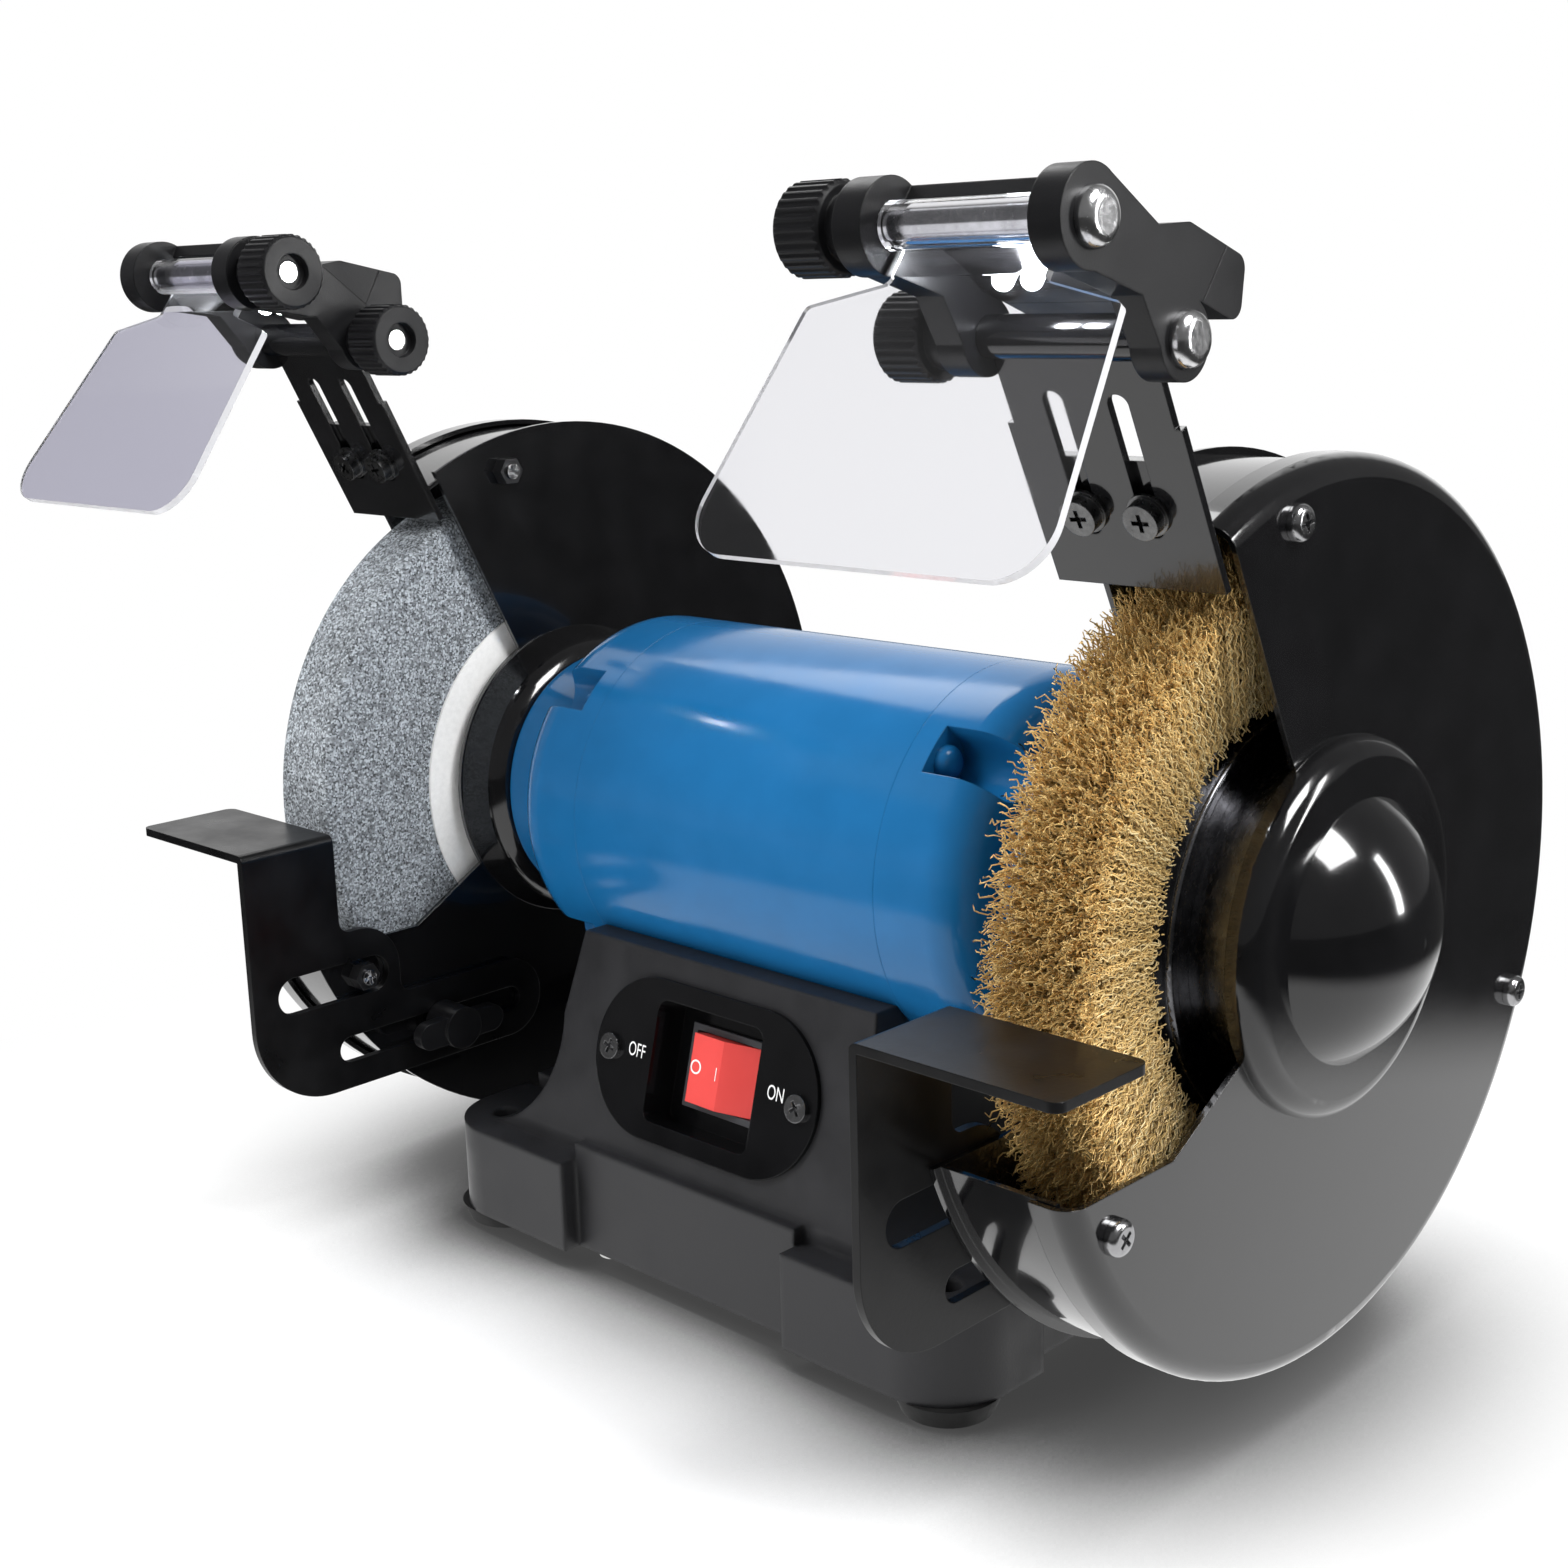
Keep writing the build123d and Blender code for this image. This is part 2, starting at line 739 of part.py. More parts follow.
def rest_wing_bolt():
    head_x = rest_plate_x - rest_gap
    tip_x = guard_plate_x + guard_sheet
    shank = along_x(head_x, tip_x, wing_bolt_radius, wing_bolt_y, wing_bolt_z)
    boss = along_x(head_x - wing_boss_length, head_x, wing_boss_radius, wing_bolt_y, wing_bolt_z)
    outline = SlotOverall(wing_span, wing_width)
    wings_x = head_x - wing_boss_length + wing_inset
    wings = extrude(side_plane(wings_x, wing_bolt_y, wing_bolt_z) * outline, wing_thickness)
    return shank + boss + wings


# Shield brackets

def bracket_slot_places():
    return [wheel_middle - bracket_slot_pitch / 2, wheel_middle + bracket_slot_pitch / 2]


def shield_bracket():
    wide = bracket_half_width
    neck = bracket_neck_half
    half = [(wide, bracket_bottom_r), (wide, bracket_notch_r), (neck, bracket_notch_r), (neck, barrel_r)]
    points = [(wheel_middle + x, r) for x, r in half]
    points += [(wheel_middle - x, r) for x, r in reversed(half)]
    outline = make_face(Polyline(*points, close=True))
    slot_length = bracket_slot_top_r - bracket_slot_bottom_r
    slot_middle = (bracket_slot_top_r + bracket_slot_bottom_r) / 2
    for x in bracket_slot_places():
        outline -= Pos(x, slot_middle) * SlotOverall(slot_length, bracket_slot_width, rotation=90)
    plate = extrude(bracket_plane(bracket_back) * outline, bracket_sheet)
    y, z = on_bracket(barrel_r, bracket_back + bracket_sheet / 2)
    start = wheel_middle - barrel_half
    end = wheel_middle + barrel_half
    barrel = along_x(start, end, barrel_radius, y, z)
    return plate + barrel - along_x(start, end, hinge_bolt_radius + slip, y, z)


def bracket_screws():
    pieces = []
    plane = bracket_plane(bracket_front)
    for x in bracket_slot_places():
        place = Pos(x, bracket_screw_r)
        ring = Circle(washer_radius) - Circle(m5_radius + seat)
        washer = extrude(plane * (place * ring), washer_thickness)
        shank_start = bracket_plane(tab_front - bracket_sheet - m5_nut_height)
        shank_length = bracket_front - tab_front + bracket_sheet + m5_nut_height + washer_thickness
        shank = extrude(shank_start * (place * Circle(m5_radius)), shank_length)
        head_plane = bracket_plane(bracket_front + washer_thickness)
        head = extrude(head_plane * (place * Circle(m5_head_radius)), m5_head_height)
        nut_outline = RegularPolygon(m5_nut_flats / 2, 6, major_radius=False) - Circle(m5_radius + seat)
        nut = extrude(shank_start * (place * nut_outline), m5_nut_height)
        pieces += [washer, shank + head, nut]
    return separate(pieces + [other_side(piece) for piece in pieces])


# Lamps and eye shields

def lower_axis():
    return on_bracket(barrel_r, bracket_back + bracket_sheet / 2)


def upper_axis(angle):
    y, z = lower_axis()
    return y - lamp_reach * cos(radians(angle)), z + lamp_reach * sin(radians(angle))


def lamp_plane(x, angle):
    """Plane across the lamp: local x runs from the lower to the upper bolt, local y to the lit side."""
    y, z = lower_axis()
    return Plane(origin=(x, y, z), x_dir=(0, -cos(radians(angle)), sin(radians(angle))), z_dir=(1, 0, 0))


def ear_outline():
    points = [
        (0, -ear_lower_radius),
        (ear_back_reach, -ear_back_rise),
        (lamp_reach, -ear_upper_radius),
        (lamp_reach, ear_upper_radius),
        (ear_waist_reach, ear_waist_drop),
        (ear_throat_reach, ear_throat_drop),
    ]
    outline = make_face(Polyline(*points, close=True))
    return outline + Circle(ear_lower_radius) + Pos(lamp_reach, 0) * Circle(ear_upper_radius)


def box_outline():
    points = [
        (ear_back_reach, -ear_back_rise),
        (box_top_reach, -box_top_rise),
        (-box_back_reach, -box_back_rise),
        (-box_tail_reach, -box_tail_rise),
        (web_start_reach, -web_rise),
        (ear_back_reach, -web_rise),
    ]
    radii = [0, box_corner, box_corner, box_corner, 0, 0]
    return make_face(FilletPolyline(*points, radius=radii, close=True))


def web_outline():
    points = [
        (web_start_reach, -web_rise),
        (ear_back_reach, -ear_back_rise),
        (lamp_reach, -ear_upper_radius),
        (lamp_reach, -web_rise),
    ]
    return make_face(Polyline(*points, close=True))


def lamp_span():
    return ear_inner_x - ear_thickness, ear_outer_x + ear_thickness


def lamp_housing(angle):
    start, end = lamp_span()
    inner_ear = extrude(lamp_plane(start, angle) * ear_outline(), ear_thickness)
    outer_ear = extrude(lamp_plane(ear_outer_x, angle) * ear_outline(), ear_thickness)
    web = extrude(lamp_plane(start, angle) * web_outline(), end - start)
    box = extrude(lamp_plane(ear_inner_x, angle) * (box_outline() - door_cutter()), end - ear_inner_x)
    housing = inner_ear + outer_ear + web + box
    for y, z in (lower_axis(), upper_axis(angle)):
        housing -= along_x(start, end, hinge_bolt_radius + seat, y, z)
    return housing


def door_cutter():
    """Area of the lamp's box that belongs to its battery door."""
    size = 2 * lamp_reach
    return Pos(door_split_reach - size / 2, 0) * Rectangle(size, size)


def battery_door(angle):
    length = lamp_span()[1] - ear_inner_x
    return extrude(lamp_plane(ear_inner_x, angle) * (box_outline() & door_cutter()), length)


def lamp_leds(angle):
    pieces = []
    y, z = lower_axis()
    middle = wheel_middle + led_offset
    for x in (middle - led_pitch / 2, middle + led_pitch / 2):
        plane = Plane(
            origin=(x, y, z),
            x_dir=(1, 0, 0),
            z_dir=(0, -sin(radians(angle)), -cos(radians(angle))),
        )
        place = plane * Pos(0, led_reach, -web_rise)
        lens = place * Cylinder(led_radius, led_height, align=(Align.CENTER, Align.CENTER, Align.MIN))
        pieces.append(fillet(lens.faces().sort_by(Axis((0, y, z), plane.z_dir))[-1].edges(), led_round))
    return separate(pieces)


def hinge_bolt(y, z):
    head_x = lamp_span()[1]
    shank = along_x(knob_outer_x + knob_dimple_depth, head_x, hinge_bolt_radius, y, z)
    head = along_x(head_x, head_x + bolt_head_height, bolt_head_radius, y, z)
    return shank + fillet(head.faces().sort_by(Axis.X)[-1].edges(), bolt_head_round)


def lamp_bolts(angle):
    return separate([hinge_bolt(*lower_axis()), hinge_bolt(*upper_axis(angle))])


def clamp_knob(y, z):
    grip_end = knob_outer_x + knob_length
    grip = along_x(knob_outer_x, grip_end, knob_radius, y, z)
    grip = chamfer(grip.edges().filter_by(GeomType.CIRCLE), knob_edge)
    collar = along_x(grip_end, collar_inner_x, knob_collar_radius, y, z)
    knob = grip + collar - along_x(knob_outer_x, knob_outer_x + knob_dimple_depth, knob_dimple_radius, y, z)
    return knob - along_x(knob_outer_x, collar_inner_x, hinge_bolt_radius + running, y, z)


def eye_shield(lamp_angle, shield_angle):
    y, z = upper_axis(lamp_angle)
    tilt = radians(shield_angle)
    plane = Plane(origin=(wheel_middle, y, z), x_dir=(1, 0, 0), z_dir=(0, sin(tilt), -cos(tilt)))
    half = [
        (shield_lug_half, 0),
        (shield_lug_half, shield_lug_length),
        (shield_top_half, shield_shoulder),
        (shield_bottom_half, shield_length),
    ]
    points = half + [(-x, s) for x, s in reversed(half)]
    lug_round = shield_sheet
    radii = [0, lug_round, lug_round, shield_corner, shield_corner, lug_round, lug_round, 0]
    outline = make_face(FilletPolyline(*points, radius=radii, close=True))
    panel = extrude(plane.offset(shield_drop) * outline, shield_sheet)
    start = wheel_middle - barrel_half
    end = wheel_middle + barrel_half
    bore = along_x(start, end, hinge_bolt_radius + slip, y, z)
    return panel + along_x(start, end, sleeve_radius, y, z) - bore


# Base

def plinth():
    outline = RectangleRounded(2 * plinth_half_x, 2 * plinth_half_y, plinth_corner)
    return extrude(Pos(0, 0, foot_height) * outline, block_top - foot_height)


def pedestal(inset):
    """Flared pedestal under the motor, drawn in by inset."""
    top = pedestal_top - inset
    flare = ThreePointArc(
        (pedestal_foot_half - inset, block_top - inset),
        (pedestal_flare_x - inset, pedestal_flare_z),
        (pedestal_waist_half - inset, pedestal_waist_z),
    )
    rise = Polyline(
        (pedestal_waist_half - inset, pedestal_waist_z),
        (pedestal_top_half - inset, top),
        (0, top),
        (0, foot_height),
        (pedestal_foot_half - inset, foot_height),
        (pedestal_foot_half - inset, block_top - inset),
    )
    half = make_face([flare, rise])
    front_view = Plane.XZ * (half + mirror(half, about=Plane.YZ))
    front_form = extrude(front_view, plinth_half_y, both=True)
    slope = tan(radians(panel_tilt))
    low_y = -switch_y + (switch_z - panel_top) * slope - inset
    high_y = -switch_y + (switch_z - top) * slope - inset
    rear = [(high_y, top), (low_y, panel_top), (low_y, foot_height)]
    side_points = [(-y, z) for y, z in reversed(rear)] + rear
    side_view = Plane.YZ * make_face(Polyline(*side_points, close=True))
    side_form = extrude(side_view, plinth_half_x, both=True)
    return front_form & side_form


def centre_panels():
    """Panels between the corner blocks, a little higher than the blocks."""
    low = (Align.CENTER, Align.CENTER, Align.MIN)
    place = Pos(0, 0, foot_height)
    front_and_back = place * Box(2 * front_panel_half, 2 * front_panel_y, panel_top - foot_height, align=low)
    sides = place * Box(2 * side_panel_x, 2 * side_panel_half, panel_top - foot_height, align=low)
    return front_and_back + sides


def panel_cutters():
    """Space in front of the panels, between the corner blocks."""
    low = (Align.CENTER, Align.CENTER, Align.MIN)
    whole = Pos(0, 0, foot_height) * Box(
        2 * front_panel_half, 4 * plinth_half_y, panel_top - foot_height, align=low
    )
    whole += Pos(0, 0, foot_height) * Box(
        4 * plinth_half_x, 2 * side_panel_half, panel_top - foot_height, align=low
    )
    middle = Pos(0, 0, foot_height) * Box(
        2 * side_panel_x, 2 * front_panel_y, panel_top - foot_height, align=low
    )
    return whole - middle


def switch_plane(offset=0.0):
    """Plane of the sloping front panel at the switch: local x along X, local y up the panel."""
    tilt = radians(panel_tilt)
    plane = Plane(origin=(0, switch_y, switch_z), x_dir=(1, 0, 0), z_dir=(0, -cos(tilt), sin(tilt)))
    return plane.offset(offset)


def base_cavity():
    low = (Align.CENTER, Align.CENTER, Align.MIN)
    room = Pos(0, 0, foot_height) * Box(
        2 * cavity_half_x, 2 * cavity_half_y, block_top - base_wall - foot_height, align=low
    )
    return room + pedestal(base_wall)


def base_casting():
    body = plinth() - panel_cutters() + centre_panels() + pedestal(0.0)
    body -= base_cavity()
    for x, y in foot_places:
        body += upright(boss_radius, deck_z, block_top - base_wall / 2, x, y)
    lug_top = block_top - base_wall / 2
    for x, side in plate_screw_places:
        body += upright(plate_screw_boss, deck_z, lug_top, x, side * (cavity_half_y - plate_screw_boss / 2))
    saddle = along_x(-plinth_half_x, plinth_half_x, motor_radius + seat)
    body -= saddle
    margin = 2 * (plate_thickness + slip)
    pocket = RectangleRounded(pocket_length + margin, pocket_height + margin, pocket_corner)
    body -= extrude(switch_plane(-panel_cut) * pocket, 2 * panel_cut)
    for x in (-plate_screw_pitch / 2, plate_screw_pitch / 2):
        body -= extrude(switch_plane(-panel_cut) * (Pos(x, 0) * Circle(m5_radius + seat)), 2 * panel_cut)
    for x, y in foot_places:
        body -= upright(foot_stem_radius + seat, 0, foot_height + foot_stem_length, x, y)
        body -= upright(bench_bolt_radius, 0, block_top + base_wall, x, y)
    for x, side in plate_screw_places:
        y = side * (cavity_half_y - plate_screw_boss / 2)
        body -= upright(m5_radius + seat, 0, block_top - base_wall, x, y)
    body -= gland_along_y(gland_body_radius + seat, cavity_half_y - base_wall, plinth_half_y)
    return body


def gland_along_y(radius, start, end):
    return Pos(gland_x, start, gland_z) * Rot(-90, 0, 0) * Cylinder(
        radius, end - start, align=(Align.CENTER, Align.CENTER, Align.MIN)
    )


def cord_gland():
    outside = front_panel_y + gland_flange + gland_tail
    body = gland_along_y(gland_body_radius, cavity_half_y, outside)
    flange = gland_along_y(gland_flange_radius, front_panel_y, front_panel_y + gland_flange)
    return body + flange - gland_along_y(gland_bore, cavity_half_y, outside)


def bottom_plate():
    low = (Align.CENTER, Align.CENTER, Align.MIN)
    sheet = Pos(0, 0, foot_height) * Box(
        2 * (cavity_half_x - slip), 2 * (cavity_half_y - slip), bottom_sheet, align=low
    )
    for x, y in foot_places:
        sheet -= upright(foot_stem_radius + slip, foot_height, deck_z, x, y)
    for x, side in plate_screw_places:
        y = side * (cavity_half_y - plate_screw_boss / 2)
        sheet -= upright(m5_radius + seat, foot_height, deck_z, x, y)
    return sheet


def bottom_plate_screws():
    pieces = []
    for x, side in plate_screw_places:
        y = side * (cavity_half_y - plate_screw_boss / 2)
        shank = upright(m5_radius, foot_height, deck_z + plate_screw_length, x, y)
        pieces.append(shank + upright(m5_head_radius, foot_height - m5_head_height, foot_height, x, y))
    return separate(pieces)


def rubber_feet():
    feet = []
    for x, y in foot_places:
        pad = Pos(x, y, 0) * Cone(
            foot_bottom_radius, foot_radius, foot_height, align=(Align.CENTER, Align.CENTER, Align.MIN)
        )
        foot = pad + upright(foot_stem_radius, foot_height, foot_height + foot_stem_length, x, y)
        feet.append(foot - upright(bench_bolt_radius, 0, foot_height + foot_stem_length, x, y))
    return separate(feet)


def run_capacitor():
    z = deck_z + clip_sheet + capacitor_radius
    can = along_x(-capacitor_length / 2, capacitor_length / 2, capacitor_radius, capacitor_y, z)
    return fillet(can.edges().filter_by(GeomType.CIRCLE), capacitor_round)


def capacitor_clip():
    z = deck_z + clip_sheet + capacitor_radius
    inner = capacitor_radius + seat
    strap = tube_x(-clip_width / 2, clip_width / 2, inner + clip_sheet, inner, capacitor_y, z)
    foot = Pos(0, capacitor_y - inner - clip_foot / 2, deck_z) * Box(
        clip_width, clip_foot, clip_sheet, align=(Align.CENTER, Align.CENTER, Align.MIN)
    )
    leg = Pos(0, capacitor_y - inner, deck_z) * Box(
        clip_width, clip_sheet, z - deck_z, align=(Align.CENTER, Align.MAX, Align.MIN)
    )
    below_deck = Box(2 * clip_width, 2 * plinth_half_y, deck_z, align=(Align.CENTER, Align.CENTER, Align.MIN))
    return strap + leg + foot - below_deck


# Switch

def switch_plate():
    outline = SlotOverall(plate_length, plate_height)
    window = RectangleRounded(pocket_length, pocket_height, pocket_corner - plate_thickness)
    plate = extrude(switch_plane() * (outline - window), plate_thickness)
    for x in (-plate_screw_pitch / 2, plate_screw_pitch / 2):
        plate -= extrude(switch_plane() * (Pos(x, 0) * Circle(m5_radius + seat)), plate_thickness)
    wall_outline = RectangleRounded(
        pocket_length + 2 * plate_thickness, pocket_height + 2 * plate_thickness, pocket_corner
    )
    floor_level = -pocket_depth - plate_thickness
    walls = extrude(switch_plane(floor_level) * wall_outline, pocket_depth + plate_thickness)
    walls -= extrude(switch_plane(-pocket_depth) * window, pocket_depth)
    body_hole = Rectangle(switch_length() + 2 * slip, switch_width() + 2 * slip)
    walls -= extrude(switch_plane(floor_level) * body_hole, plate_thickness)
    return plate + walls


def switch_length():
    return bezel_length - 2 * bezel_rim + switch_side_wall


def switch_width():
    return bezel_height - 2 * bezel_rim + switch_side_wall


def switch_plate_screws():
    pieces = []
    for x in (-plate_screw_pitch / 2, plate_screw_pitch / 2):
        place = Pos(x, 0)
        shank = extrude(switch_plane(-base_wall) * (place * Circle(m5_radius)), base_wall + plate_thickness)
        head = extrude(switch_plane(plate_thickness) * (place * Circle(plate_head_radius)), plate_head_height)
        pieces.append(shank + head)
    return separate(pieces)


def rocker_plane(offset=0.0):
    """Plane through the rocker's pivot, across the pivot line: local x along X, local y outwards."""
    tilt = radians(panel_tilt)
    depth = -pocket_depth + bezel_thickness - rocker_pivot_depth
    origin = switch_plane(depth).origin
    plane = Plane(origin=origin, x_dir=(1, 0, 0), z_dir=(0, -sin(tilt), -cos(tilt)))
    return plane.offset(offset)


def switch_body():
    bezel = extrude(switch_plane(-pocket_depth) * Rectangle(bezel_length, bezel_height), bezel_thickness)
    case_outline = Rectangle(switch_length(), switch_width())
    case = extrude(switch_plane(-pocket_depth - switch_depth) * case_outline, switch_depth)
    opening = Rectangle(bezel_length - 2 * bezel_rim, bezel_height - 2 * bezel_rim)
    cavity = extrude(switch_plane(-pocket_depth + bezel_thickness - rocker_cavity) * opening, rocker_cavity)
    half = bezel_height / 2
    pivot = extrude(rocker_plane(-half) * Circle(rocker_pin_radius + running), 2 * half)
    pin_room = bezel_height / 2 - bezel_rim + rocker_pin_length + running
    pivot &= extrude(rocker_plane(-pin_room) * Rectangle(bezel_length, bezel_length), 2 * pin_room)
    return bezel + case - cavity - pivot


def switch_rocker():
    side_y = rocker_crown - rocker_facet_drop
    points = [
        (0, rocker_crown),
        (rocker_half, side_y),
        (rocker_foot_half, -rocker_skirt),
        (-rocker_foot_half, -rocker_skirt),
        (-rocker_half, side_y),
    ]
    half = bezel_height / 2 - bezel_rim - slip
    outline = Rot(0, 0, -rocker_tilt) * make_face(Polyline(*points, close=True))
    body = extrude(rocker_plane(-half) * outline, 2 * half)
    reach = bezel_height / 2 - bezel_rim + rocker_pin_length - running
    return body + extrude(rocker_plane(-reach) * Circle(rocker_pin_radius), 2 * reach)


def switch_terminals():
    back = -pocket_depth - switch_depth
    blade = Rectangle(terminal_sheet, terminal_width)
    pieces = []
    for x in (-terminal_pitch / 2, terminal_pitch / 2):
        pieces.append(extrude(switch_plane(back - terminal_length) * (Pos(x, 0) * blade), terminal_length))
    return separate(pieces)


def side_nodes(side, angle, shield_angle, place):
    """Pieces that both sides have, moved to their own side by place."""
    return {
        side + "_end_bell": place(end_bell()),
        side + "_guard_shell": place(guard_shell()),
        side + "_guard_cover": place(guard_cover()),
        side + "_tool_rest": place(tool_rest()),
        side + "_rest_wing_bolt": place(rest_wing_bolt()),
        side + "_shield_bracket": place(shield_bracket()),
        side + "_lamp_housing": place(lamp_housing(angle)),
        side + "_battery_door": place(battery_door(angle)),
        side + "_lamp_leds": separate([place(lens) for lens in lamp_leds(angle).solids()]),
        side + "_lamp_bolts": separate([place(bolt) for bolt in lamp_bolts(angle).solids()]),
        side + "_lamp_knob": place(clamp_knob(*lower_axis())),
        side + "_shield_knob": place(clamp_knob(*upper_axis(angle))),
        side + "_eye_shield": place(eye_shield(angle, shield_angle)),
    }


nodes = {
    "base_casting": base_casting(),
    "bottom_plate": bottom_plate(),
    "bottom_plate_screws": bottom_plate_screws(),
    "rubber_feet": rubber_feet(),
    "run_capacitor": run_capacitor(),
    "capacitor_clip": capacitor_clip(),
    "cord_gland": cord_gland(),
    "switch_plate": switch_plate(),
    "switch_plate_screws": switch_plate_screws(),
    "switch_body": switch_body(),
    "switch_terminals": switch_terminals(),
    "switch_rocker": switch_rocker(),
    "motor_shell": motor_shell(),
    "motor_tie_bolts": motor_tie_bolts(),
    "stator_core": stator_core(),
    "stator_windings": stator_windings(),
    "bearing_outer_rings": bearing_outer_rings(),
    "bearing_inner_rings": bearing_inner_rings(),
    "bearing_balls": bearing_balls(),
    "shaft": shaft(),
    "rotor_core": rotor_core(),
    "grinding_wheel": grinding_wheel(),
    "wheel_blotters": wheel_blotters(),
    "wheel_flanges": wheel_flanges(),
    "wire_brush": wire_brush(),
    "brush_discs": brush_discs(),
    "brush_flanges": brush_flanges(),
    "spindle_nuts": spindle_nuts(),
    "guard_cover_screws": guard_cover_screws(),
    "guard_cover_nuts": guard_cover_nuts(),
    "guard_mount_screws": guard_mount_screws(),
    "bracket_screws": bracket_screws(),
}
nodes.update(side_nodes("right", right_lamp_angle, right_shield_angle, lambda piece: piece))
nodes.update(side_nodes("left", left_lamp_angle, left_shield_angle, other_side))

os.makedirs("parts", exist_ok=True)
for name, node in nodes.items():
    export_step(node, os.path.join("parts", name + ".step"))
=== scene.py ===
import json
import math

import bmesh
import bpy
from bpy.props import FloatProperty, FloatVectorProperty, IntProperty, PointerProperty
from mathutils import Matrix, Vector
from mathutils.bvhtree import BVHTree

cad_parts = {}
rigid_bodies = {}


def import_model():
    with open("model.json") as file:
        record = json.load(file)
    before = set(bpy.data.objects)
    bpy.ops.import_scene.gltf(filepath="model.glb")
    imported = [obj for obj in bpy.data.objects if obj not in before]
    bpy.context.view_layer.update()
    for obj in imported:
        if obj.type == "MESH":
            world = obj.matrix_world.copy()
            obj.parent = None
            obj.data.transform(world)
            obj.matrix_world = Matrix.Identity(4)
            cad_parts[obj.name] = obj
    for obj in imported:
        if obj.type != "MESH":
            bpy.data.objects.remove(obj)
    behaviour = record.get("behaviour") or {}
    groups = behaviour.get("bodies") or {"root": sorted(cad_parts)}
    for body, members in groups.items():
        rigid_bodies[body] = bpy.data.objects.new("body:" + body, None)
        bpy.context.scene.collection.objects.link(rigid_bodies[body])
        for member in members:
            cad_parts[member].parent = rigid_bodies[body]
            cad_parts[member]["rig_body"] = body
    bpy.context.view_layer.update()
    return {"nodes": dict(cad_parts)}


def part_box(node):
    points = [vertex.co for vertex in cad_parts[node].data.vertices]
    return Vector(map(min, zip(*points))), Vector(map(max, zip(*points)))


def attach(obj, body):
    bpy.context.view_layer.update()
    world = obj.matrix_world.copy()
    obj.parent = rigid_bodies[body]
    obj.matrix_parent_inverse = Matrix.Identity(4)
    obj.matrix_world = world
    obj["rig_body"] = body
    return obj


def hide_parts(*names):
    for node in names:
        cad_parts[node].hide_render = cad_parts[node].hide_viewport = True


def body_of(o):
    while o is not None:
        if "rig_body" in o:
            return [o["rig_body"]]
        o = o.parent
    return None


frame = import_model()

bl_info = {
    "name": "Bench grinder looks",
    "version": (1, 0, 0),
    "blender": (4, 5, 0),
    "location": "View3D > Sidebar > Grinder",
    "description": "Finishes and fine pieces of a bench grinder with a wheel, a wire brush and lit shields",
    "category": "Object",
}

MM = 0.001
SIDES = ("left", "right")
FULL_TURN = 2 * math.pi
SHARP_ANGLE = math.radians(32)
WELD_REACH = 1e-6
WHITE = (1.0, 1.0, 1.0, 1.0)
EVEN = (1.0, 1.0, 1.0)
ACROSS_SPINDLE = (0.0, 1.0, 1.0)
NOISE_LOW = 0.3
NOISE_HIGH = 0.7
BRACKET_LEAN = math.radians(26.5)
PANEL_SLOPE = math.radians(15)
SHIELD_EDGE = 0.35 * MM
HINGE_START = 16 * MM
HINGE_FULL = 12 * MM
HEAD_SKIN = 0.2 * MM
CORE_STEPS = 96
MARK_START = 40 * MM
MARK_LIFT = 0.06 * MM
LIGHT_TARGET = Vector((0, 0, 0.14))
BACKDROP_HEADING = (-0.7, 0.7, 0.1)
CAMERA_PLACE = Vector((434.53, -467.82, 297.10)) * MM
CAMERA_LENS = 49.09
brush_low, brush_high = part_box("wire_brush")
brush_centre = (brush_low + brush_high) / 2
brush_radius = (brush_high.z - brush_low.z) / 2
plate_low, plate_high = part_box("switch_plate")
shield_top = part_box("right_eye_shield")[1].z
shield_facing = (0.0, -0.81, 0.59)
FINISHES = {}


def colour_property(name, description, default):
    return FloatVectorProperty(
        name=name, description=description, default=default, size=3, min=0.0, max=1.0, subtype="COLOR"
    )


def length_property(name, description, default):
    return FloatProperty(
        name=name, description=description, default=default, min=0.0, unit="LENGTH", precision=5
    )


def count_property(name, description, default):
    return IntProperty(name=name, description=description, default=default, min=1)


def level_property(name, description, default):
    return FloatProperty(name=name, description=description, default=default, min=0.0)


def power_property(name, description, default):
    return FloatProperty(name=name, description=description, default=default, unit="POWER")


class GrinderColours(bpy.types.PropertyGroup):
    """Colours of the grinder's finishes."""

    motor: colour_property("Motor", "Enamel of the motor", (0.009, 0.12, 0.305))
    guard: colour_property("Guard", "Enamel of the guards and sheet pieces", (0.004, 0.004, 0.0045))
    base: colour_property("Base", "Coating of the base", (0.022, 0.022, 0.024))
    plastic: colour_property("Plastic", "Moulded lamps and knobs", (0.008, 0.008, 0.009))
    rocker: colour_property("Rocker", "Switch rocker", (0.8, 0.07, 0.062))
    wheel: colour_property("Wheel", "Mean colour of the abrasive", (0.215, 0.233, 0.251))
    wire: colour_property("Wire", "Brass of the brush", (1.0, 0.68, 0.26))
    mark: colour_property("Marks", "Printed marks of the switch", (0.82, 0.82, 0.82))


class BrushSizes(bpy.types.PropertyGroup):
    """Sizes of the wire brush."""

    wire_radius: length_property("Wire radius", "Half the thickness of a wire", 0.2 * MM)
    crimp: length_property("Crimp", "Height of a wire's waves", 0.6 * MM)
    crimp_step: length_property("Crimp step", "Length of half a wave", 1.5 * MM)
    rim_wires: count_property("Rim wires", "Wires in each layer of the rim", 3400)
    rim_layers: count_property("Rim layers", "Layers of wires in the rim", 5)
    face_wires: count_property("Face wires", "Wires in each layer of a face", 1250)
    seed: IntProperty(name="Seed", description="Start of the wires' scatter", default=7, min=0)


